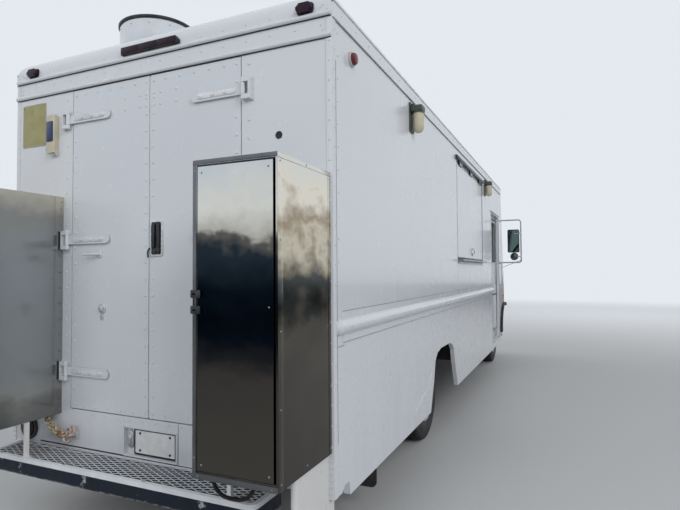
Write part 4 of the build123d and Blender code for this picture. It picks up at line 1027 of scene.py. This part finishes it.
def mirrorDetails():
    y, spotX, spotZ = mirror["y"], mirror["spotX"], mirror["spotZ"]
    face, shell, wire = Shape(), Shape(), Shape()
    face.slab("y", mirror["glass"], y - 0.0025, y + 0.0002, 0.0008)
    face.spin([(-0.002, 0.057), (0.003, 0.052), (0.007, 0.038), (0.0095, 0.018), (0.01, 0)],
              (spotX, y, spotZ), 36)
    left, right, low, high, radius = mirror["glass"]
    shell.rim("y", (left - 0.01, right + 0.01, low - 0.01, high + 0.01, radius + 0.005), 0.011,
              y - 0.005, y + 0.052, radius - 0.001)
    shell.spin([(0, 0.063), (0.004, 0.064), (0.007, 0.061), (0.008, 0.056)], (spotX, y + 0.003, spotZ), 36)
    wire.tube(bent([(1.53, y, 1.74), (1.43, y, 1.7), (1.33, y + 0.01, 1.66), (wallX, y + 0.01, 1.61)], 0.04),
              0.005, 8)
    for z in (2.18, 1.8):
        wire.box((1.508, y - 0.0145, z - 0.012), (1.5405, y + 0.0145, z + 0.012), 0.004, 3)
        wire.spin([(0, 0.007), (0.004, 0.007), (0.006, 0.004), (0.006, 0)], (1.522, y - 0.0145, z), 6)
    for z in (2.41, 1.7):
        wire.spin([(0, 0.028), (0.005, 0.028), (0.007, 0.02), (0.02, 0.014)], (wallX, y, z), 20, (1, 0, 0))
    for name, shape, finish in (("Faces", face, "mirrorGlass"), ("Shells", shell, "blackPlastic"),
                                ("Brackets", wire, "chrome")):
        piece("mirror" + name, shape.both(), finish)


def onWindshield(u, w, lift):
    # a place on the raked front, lift metres off its outer face
    slope = math.atan2(0.22, 1.295)
    y = 7.08 - 0.22 * (w - 1.56) / 1.295
    return (u, y + lift * math.cos(slope), w + lift * math.sin(slope))


def frontDetails():
    rubber, wiper, rims, turn, base = (Shape() for part in range(5))
    for left, right in ((-1.085, -0.035), (0.035, 1.085)):
        rubber.skin([[onWindshield(u, w, lift) for u, w in roundRect(
            left - out, right + out, 1.645 - out, 2.6 + out, 0.07 + out, 6)]
            for out, lift in ((0.016, 0.0), (0.012, 0.006), (-0.006, 0.005), (-0.008, -0.014))])
    piece("windshieldRubber", rubber, "seal")
    for x in (0.32, -0.78):
        wiper.spin([(0, 0.02), (0.02, 0.018), (0.028, 0.008), (0.028, 0)], onWindshield(x, 1.6, 0.0),
                   facing=(0, 0.986, 0.167))
        wiper.tube([onWindshield(x + 0.28 * t, 1.6 + 0.5 * t, 0.02 + 0.008 * math.sin(math.pi * t))
                    for t in (0, 0.25, 0.5, 0.75, 1)], 0.0045, 8)
        wiper.tube([onWindshield(x + 0.28 + d * 0.23, 2.1 - abs(d) * 0.012 + d * 0.16, 0.013)
                    for d in (-1, -0.5, 0, 0.5, 1)], 0.0055, 6)
    piece("wipers", wiper, "blackPlastic")
    for x in (-0.64, 0.64):
        rims.spin([(0, 0.097), (0.002, 0.107), (0.012, 0.106), (0.018, 0.1), (0.016, 0.095), (0.004, 0.094)],
                  (x, 7.7, 0.95), 48, (0, 1, 0))
    piece("headlampRims", rims, "chrome")
    for left, right in ((-0.88, -0.76), (0.76, 0.88)):
        base.slab("y", (left - 0.006, right + 0.006, 0.914, 0.986, 0.012), 7.694, 7.707, 0.002)
        turn.slab("y", (left, right, 0.92, 0.98, 0.01), 7.705, 7.722, 0.006, 3)
    for x in (-0.9, -0.2, 0, 0.2, 0.9):
        base.slab("y", (x - 0.046, x + 0.046, 2.885, 2.935, 0.014), 6.88, 6.889, 0.002)
        turn.slab("y", (x - 0.04, x + 0.04, 2.89, 2.93, 0.016), 6.888, 6.904, 0.008, 3)
    piece("turnLamps", turn, "amberLens")
    piece("turnLampBases", base, "trimPaint")
    trim, catches, bolts = Shape(), Shape(), Shape()
    trim.rim("y", (-0.446, 0.446, 0.724, 1.126, 0.02), 0.018, 7.698, 7.706, 0.012)
    for x in (-0.29, -0.145, 0, 0.145, 0.29):
        trim.box((x - 0.004, 7.676, 0.745), (x + 0.004, 7.69, 1.105), 0.001)
    piece("grilleTrim", trim, "galvanised")
    for x in (-0.4, 0.4):
        catches.box((x - 0.018, 7.6, 1.338), (x + 0.018, 7.635, 1.352), 0.004)
    piece("hoodCatches", catches, "darkSteel", "hood")
    for x in (-0.397, 0.397):
        for z in (0.53, 0.63):
            bolts.spin([(0, 0.016), (0.004, 0.015), (0.009, 0.008), (0.01, 0)], (x, 7.8195, z), 14, (0, 1, 0))
    piece("bumperBolts", bolts, "galvanised")


axleZ = 0.386  # every wheel's middle above the ground


def tyreMesh(shape, x, y):
    # ribbed tread with cross slots on every rib's shoulder, and stepped sidewalls
    crown, floor, pitches = axleZ, 0.377, 44
    half = [(0.07, 0.2062), (0.084, 0.2062), (0.0862, 0.224), (0.093, 0.24), (0.0995, 0.25),
            (0.1008, 0.254), (0.1045, 0.27), (0.1074, 0.292), (0.1052, 0.318), (0.1028, 0.322),
            (0.0995, 0.338), (0.0945, 0.352), (0.0948, 0.356), (0.0905, 0.367), (0.0855, 0.376),
            (0.0765, 0.3815), (0.07, 0.3845)]
    treads = [(0.052, 1), (0.05, 0), (0.044, 0), (0.042, 1), (0.0185, 1), (0.0165, 0), (0.0095, 0),
              (0.0075, 1)]
    right = [(a, r, 0) for a, r in half] + [(a, crown if up else floor, up) for a, up in treads]
    profile = right + [(-a, r, up) for a, r, up in reversed(right)]
    rows = []
    for k in range(pitches):
        for share, slot in ((0.0, 0), (0.62, 0), (0.67, 1), (0.95, 1)):
            angle = 2 * math.pi * (k + share) / pitches
            row = []
            for a, r, up in profile:
                cut = slot and (up and abs(a) > 0.045 or not up and 0.36 < r < 0.3855 and abs(a) > 0.06)
                radius = r - 0.0075 if cut else r
                row.append((x + a, y - radius * math.sin(angle), axleZ + radius * math.cos(angle)))
            rows.append(row)
    shape.skin(rows, True, False)


wheels = {
    # end of the bodies' names, axle Y, middle X of each tyre, face X, hub X and hub radius
    "Front": ("", 6.98, (0.9325,), 1.06, 1.085, 0.058),
    "Rear": ("s", 2.46, (0.9225, 0.6675), 0.807, 0.93, 0.068),
}


def wheelDetails():
    for end, (plural, y, middles, faceX, hubX, hubR) in wheels.items():
        for name, side in sides.items():
            node, facing = name + "_" + end.lower(), (side, 0, 0)
            body = node + "_wheel" + plural
            tread, nuts, caps = Shape(), Shape(), Shape()
            for x in middles:
                tyreMesh(tread, side * x, y)
            tyre = piece(name + end + "Tyre", tread, "tyreRubber", body, 28)
            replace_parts(tyre, node + "_tyre" + plural)
            for v, w in circle(y, axleZ, 0.082, 8, math.radians(22.5)):
                nuts.spin([(0, 0.0165), (0.003, 0.0165), (0.003, 0.0135), (0.017, 0.0135), (0.02, 0.011),
                           (0.02, 0.008), (0.03, 0.0075), (0.031, 0)], (side * faceX, v, w), 6, facing)
            caps.spin([(-0.03, hubR + 0.003), (-0.004, hubR + 0.003), (0.0, hubR), (0.004, hubR * 0.85),
                       (0.006, hubR * 0.4), (0.007, 0)], (side * hubX, y, axleZ), 40, facing)
            for v, w in circle(y, axleZ, hubR * 0.68, 8):
                caps.spin([(0.003, 0.0065), (0.009, 0.006), (0.01, 0)], (side * hubX, v, w), 6, facing)
            stem = [(side * faceX, y, axleZ + 0.175), (side * (faceX + 0.03), y, axleZ + 0.165)]
            nuts.tube(stem, 0.0045, 8)
            piece(name + end + "Nuts", nuts, "galvanised", body)
            piece(name + end + "HubCap", caps, "hubPaint", body)


def settle(thing):
    # what its modifiers make becomes its mesh
    bpy.context.view_layer.update()
    graph = bpy.context.evaluated_depsgraph_get()
    made = bpy.data.meshes.new_from_object(thing.evaluated_get(graph))
    thing.modifiers.clear()
    thing.data = made


def pad(name, low, high, crown=0.02):
    # a stuffed pad: a soft-edged block, blown up as cloth, held near its frame
    thing = piece(name, Shape().box(low, high, 0.03, 3), "seatVinyl", "body", 70)
    remesh = thing.modifiers.new("even", "REMESH")
    remesh.mode = "VOXEL"
    remesh.voxel_size = 0.012
    settle(thing)
    home = [v.co.copy() for v in thing.data.vertices]
    cloth = thing.modifiers.new("air", "CLOTH")
    cloth.settings.use_pressure = True
    cloth.settings.uniform_pressure_force = 4
    cloth.settings.effector_weights.gravity = 0
    cloth.settings.tension_stiffness = 25
    cloth.point_cache.frame_end = 20
    for number in range(1, 21):
        bpy.context.scene.frame_set(number)
    settle(thing)
    bpy.context.scene.frame_set(1)
    for v, start in zip(thing.data.vertices, home):
        moved = v.co - start
        if moved.length > crown:
            v.co = start + moved * (crown / moved.length)
    thing.data.shade_smooth()
    return thing


driver = {"middleX": -0.64}


def driverSeat():
    x = driver["middleX"]
    cushion = pad("seatCushion", (x - 0.222, 5.63, 1.096), (x + 0.222, 6.082, 1.172))
    pad("seatBack", (x - 0.212, 5.588, 1.19), (x + 0.212, 5.672, 1.812))
    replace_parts(cushion, "driver_seat")
    base, piping = Shape(), Shape()
    base.box((x - 0.17, 5.68, 0.7), (x + 0.17, 6.02, 1.02), 0.012, 3)
    base.box((x - 0.2, 5.64, 1.02), (x + 0.2, 6.05, 1.085), 0.015, 3)
    base.box((x - 0.19, 5.573, 1.15), (x + 0.19, 5.6, 1.75), 0.01, 3)
    for u in (x + 0.19, x - 0.19):
        base.tube(bent([(u, 5.72, 1.05), (u, 5.6, 1.06), (u, 5.59, 1.3)], 0.05), 0.012)
    piece("seatFrame", base, "blackIron")
    cushionEdge = roundRect(x - 0.232, x + 0.232, 5.622, 6.09, 0.05, 6)
    backEdge = roundRect(x - 0.223, x + 0.223, 1.185, 1.822, 0.05, 6)
    for z in (1.105, 1.165):
        piping.tube([(u, v, z) for u, v in cushionEdge], 0.004, 6, True)
    piping.tube([(u, 5.586, w) for u, w in backEdge], 0.004, 6, True)
    piece("seatPiping", piping, "blackPlastic")


def dashDetails():
    dials, bezels, hands, lever = Shape(), Shape(), Shape(), Shape()
    middleX = driver["middleX"]
    slope = math.atan2(0.07, 0.3)
    facing = (0, -math.cos(slope), math.sin(slope))
    for dx, z, r in ((-0.09, 1.37, 0.048), (0.03, 1.37, 0.048), (0.13, 1.4, 0.026), (0.13, 1.335, 0.026)):
        x, y = middleX + dx, 6.76 + 0.07 * (z - 1.18) / 0.3
        bezels.spin([(0, r + 0.008), (0.006, r + 0.008), (0.009, r + 0.004), (0.004, r)], (x, y, z), 28,
                    facing)
        dials.spin([(0.002, r), (0.0025, 0)], (x, y, z), 28, facing)
        hands.box((x - 0.0015, y - 0.004, z), (x + 0.0015, y - 0.002, z + r * 0.75), 0.0005)
    for x in (0.25, 0.65):
        bezels.slab("y", (x - 0.14, x + 0.14, 1.23, 1.4, 0.015), 6.762, 6.79, 0.004)
    hands.spin([(0, 0.04), (0.012, 0.038), (0.02, 0.028), (0.022, 0)], (middleX, 6.41, 1.512), 28,
               (0, -0.643, 0.766))
    piece("dialBezels", bezels, "blackPlastic")
    piece("dialFaces", dials, "dialFace")
    piece("dialHands", hands, "plateSheet")
    lever.tube(bent([(middleX + 0.35, 6.62, 0.9), (middleX + 0.33, 6.55, 1.1),
                     (middleX + 0.3, 6.48, 1.27)], 0.08), 0.009)
    lever.spin([(0, 0), (0.008, 0.018), (0.026, 0.022), (0.044, 0.016), (0.05, 0)],
               (middleX + 0.3, 6.48, 1.26), 20, (0, -0.3, 0.95))
    piece("gearLever", lever, "blackPlastic")


fan = {"place": (-0.6, 0.7, 3.035), "radius": 0.2757}


def fanDetails():
    x, y, z = fan["place"]
    up, radius = (0, 0, 1), fan["radius"]
    band, lip, guard, bolts, bead = (Shape() for part in range(5))
    band.spin([(0.125, 0.209), (0.15, 0.272), (0.156, radius), (0.3, radius), (0.376, radius)],
              (x, y, z), 72, up)
    piece("fanWindBand", band, "bandMetal")
    lip.spin([(0.374, radius), (0.374, 0.284), (0.378, 0.2865), (0.392, 0.2865), (0.3968, 0.282),
              (0.3968, 0.238), (0.392, 0.2345), (0.386, 0.2355)], (x, y, z), 72, up)
    piece("fanLip", lip, "darkSteel")
    guardZ = z + 0.383
    for r in (0.06, 0.12, 0.18, 0.225):
        guard.tube([(u, v, guardZ) for u, v in circle(x, y, r, 40)], 0.0022, 6, True)
    for u, v in circle(x, y, 0.247, 8):
        guard.tube([(x, y, guardZ), (u, v, guardZ)], 0.0022, 6)
    piece("fanGuard", guard, "galvanised")
    for (u, v), (a, b), (c, d) in zip(circle(x, y, 0.265, 12), circle(x, y, 0.2755, 12), circle(0, 0, 1, 12)):
        bolts.rivets([(u, v, z + 0.06)], 0.006, facing=up)
        bolts.rivets([(a, b, z + 0.34)], 0.005, facing=(c, d, 0))
    piece("fanBolts", bolts, "galvanised")
    bead.spin([(0.0, 0.3), (0.006, 0.296), (0.012, 0.276)], (x, y, z), 64, up)
    piece("fanSealant", bead, "postPaint")


def roofSeams():
    seams, dots = Shape(), Shape()
    for y in (1.25, 2.45, 3.65, 4.85, 6.05):
        seams.box((-1.1, y - 0.022, 3.0345), (1.1, y + 0.022, 3.0368), 0.0008)
        dots.rivets([(x, y + dy, 3.0368) for x in steps(-1.08, 1.08, 0.18) for dy in (-0.011, 0.011)],
                    0.0045, facing=(0, 0, 1))
    piece("roofStrips", seams, "bodyPaint")
    piece("roofRivets", dots, "trimPaint")


step = {"left": -1.06, "right": 0.9, "rear": -0.258, "front": -0.003, "top": 0.466, "border": 0.024,
        "pitchX": 0.073, "pitchY": 0.0165, "strand": 0.0023, "thickness": 0.0018}


def expandedSheet():
    # strands round staggered diamond openings, cut off at the border
    shape, top = Shape(), step["top"]
    outer = (step["left"], step["right"], step["rear"], step["front"])
    left, right = step["left"] + step["border"], step["right"] - step["border"]
    rear, front = step["rear"] + step["border"], step["front"] - 0.014
    middleX, middleY = (left + right) / 2, (rear + front) / 2
    halfX, halfY = step["pitchX"] / 2, step["pitchY"]
    below = Vector((0, 0, -step["thickness"]))
    for row in range(-8, 9):
        for column in range(-18, 19):
            x = middleX + (column + 0.5 * (row % 2)) * step["pitchX"]
            y = middleY + row * step["pitchY"]
            corners = [(x - halfX, y), (x, y - halfY), (x + halfX, y)]
            for (u0, v0), (u1, v1) in zip(corners, corners[1:]):
                if (left - 0.01 < u0 and u1 < right + 0.01
                        and rear - 0.005 < min(v0, v1) and max(v0, v1) < front + 0.005):
                    along = Vector((u1 - u0, v1 - v0, 0)).normalized()
                    across = Vector((-along.y, along.x, 0)) * step["strand"]
                    start, end = Vector((u0, v0, top)), Vector((u1, v1, top))
                    points = [start + across, start - across, end - across, end + across]
                    points += [point + below for point in points]
                    shape.add(points, [(0, 1, 2, 3), (7, 6, 5, 4), (0, 4, 5, 1), (2, 6, 7, 3), (1, 5, 6, 2),
                                       (3, 7, 4, 0)])
    shape.ring("z", (*outer, 0.04), (left, right, rear, front, 0.02), top - 0.0078, top + 0.0008)
    lip = (outer[0] - 0.0016, outer[1] + 0.0016, outer[2] - 0.0016, outer[3], 0.0416)
    return shape.ring("z", lip, (*outer, 0.04), top - 0.026, top + 0.0006)


def stepDetails():
    top = step["top"]
    bolts, under, feet, crease = Shape(), Shape(), Shape(), Shape()
    for x in (-0.95, -0.4, 0.2, 0.8):
        bolts.spin([(0, 0.011), (0.004, 0.0105), (0.0065, 0.006), (0.007, 0)], (x, -0.24, top), 12, (0, 0, 1))
    piece("stepBolts", bolts, "galvanised")
    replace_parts(piece("stepSheet", expandedSheet(), "stepWhite"), "step_grating")
    under.slab("z", (-1.05, 0.89, -0.248, -0.006, 0.03), 0.43, 0.438, 0.001)
    piece("stepShade", under, "seal")
    for x in (-0.735, 0.749):
        feet.box((x - 0.026, -0.25, top), (x + 0.026, -0.22, top + 0.0035), 0.001)
    piece("postFeet", feet, "postPaint")
    route = [(wallX, 2.03, 0.77), (wallX, 1.86, 0.62), (wallX, 1.6, 0.56), (wallX, 1.383, 0.479)]
    crease.tube(bent(route, 0.12), [0.0002] + [0.004] * 14 + [0.0002], 8)
    piece("skirtCrease", crease, "bodyPaint")


bodyRivets()
cornerTrim()
rearSeams()
hingeDetails()
doorFittings()
rearNotice()
print("rear wall pieces made")
redLamps()
floodLamps()
licencePlate()
towChain()
cabinetDetails()
print("lamps, plate, chain and cabinets made")
hatchDetails()
cabDetails()
mirrorDetails()
frontDetails()
print("sides and front made")
wheelDetails()
driverSeat()
dashDetails()
fanDetails()
roofSeams()
stepDetails()
print("wheels, seat, roof and step made")


studio = {
    "sky": (0.80, 0.87, 0.96), "strength": 0.5, "backdrop": (0.78, 0.82, 0.87), "paper": (0.56, 0.56, 0.55),
    "fade": (6, 24),
    "lamps": {  # place, aim, size, power
        "rightSoft": ((12, -10, 9), (0, -1, 1.4), 8, 820),
        "rearSoft": ((-3, -14, 8), (0, -2, 1.4), 8, 330),
        "leftSoft": ((-12, 2, 9), (0, 0, 1.4), 9, 420),
        "frontSoft": ((4, 15, 8), (0, 2, 1.4), 9, 520),
    },
}


def backdrop():
    mesh = bpy.data.meshes.new("studioFloor")
    mesh.from_pydata([(x, y, 0) for x, y in roundRect(-60, 60, -60, 60)], [], [(0, 1, 2, 3)])
    ground = bpy.data.objects.new("studioFloor", mesh)
    bpy.context.scene.collection.objects.link(ground)
    f = Finish("floorPaper", "cream_plastic", Metallic=0.0, Emission_Strength=1.0, Specular_IOR_Level=0.0)
    # far from the truck the paper takes the backdrop's tone, so that no line shows where they meet
    x, y = f.along("X"), f.along("Y")
    far = f.span(f.maths("SQRT", x * x + y * y), *studio["fade"])
    seen = f.add("ShaderNodeLightPath", out="Is Camera Ray")
    f.set("Base Color", f.mix(far, studio["paper"], (0, 0, 0)))
    f.set("Emission Color", f.mix(far * seen, (0, 0, 0), studio["backdrop"]))
    f.set("Roughness", f.cloud(9, 3, 0.3, 0.7, 0.697, 1.003))
    f.bump(f.noise(60, 2), 0.05, 0.001)
    mesh.materials.append(f.material)


def studioLamps():
    for name, (place, aim, size, power) in studio["lamps"].items():
        data = bpy.data.lights.new(name, "AREA")
        data.shape = "DISK"
        data.size = size
        data.energy = power
        thing = bpy.data.objects.new(name, data)
        thing.location = place
        thing.visible_glossy = False
        thing.rotation_mode = "QUATERNION"
        thing.rotation_quaternion = (Vector(place) - Vector(aim)).to_track_quat("Z", "Y")
        bpy.context.scene.collection.objects.link(thing)


def studioWorld():
    world = bpy.data.worlds.new("studio")
    bpy.context.scene.world = world
    world.use_nodes = True
    sheet = Sheet(world.node_tree)
    light = world.node_tree.nodes["Background"]
    sheet.feed(light.inputs["Color"], studio["sky"])
    sheet.feed(light.inputs["Strength"], studio["strength"])
    shown = sheet.add("ShaderNodeBackground", None, {"Color": studio["backdrop"]})
    eye = sheet.add("ShaderNodeLightPath", out="Is Camera Ray")
    gloss = sheet.add("ShaderNodeLightPath", out="Is Glossy Ray")
    both = sheet.add("ShaderNodeMixShader", None, {
        0: sheet.maths("MAXIMUM", eye, gloss), 1: Wire(sheet, light.outputs[0]), 2: shown})
    sheet.feed(world.node_tree.nodes["World Output"].inputs["Surface"], both)


backdrop()
studioLamps()
studioWorld()
print("room and lights set")
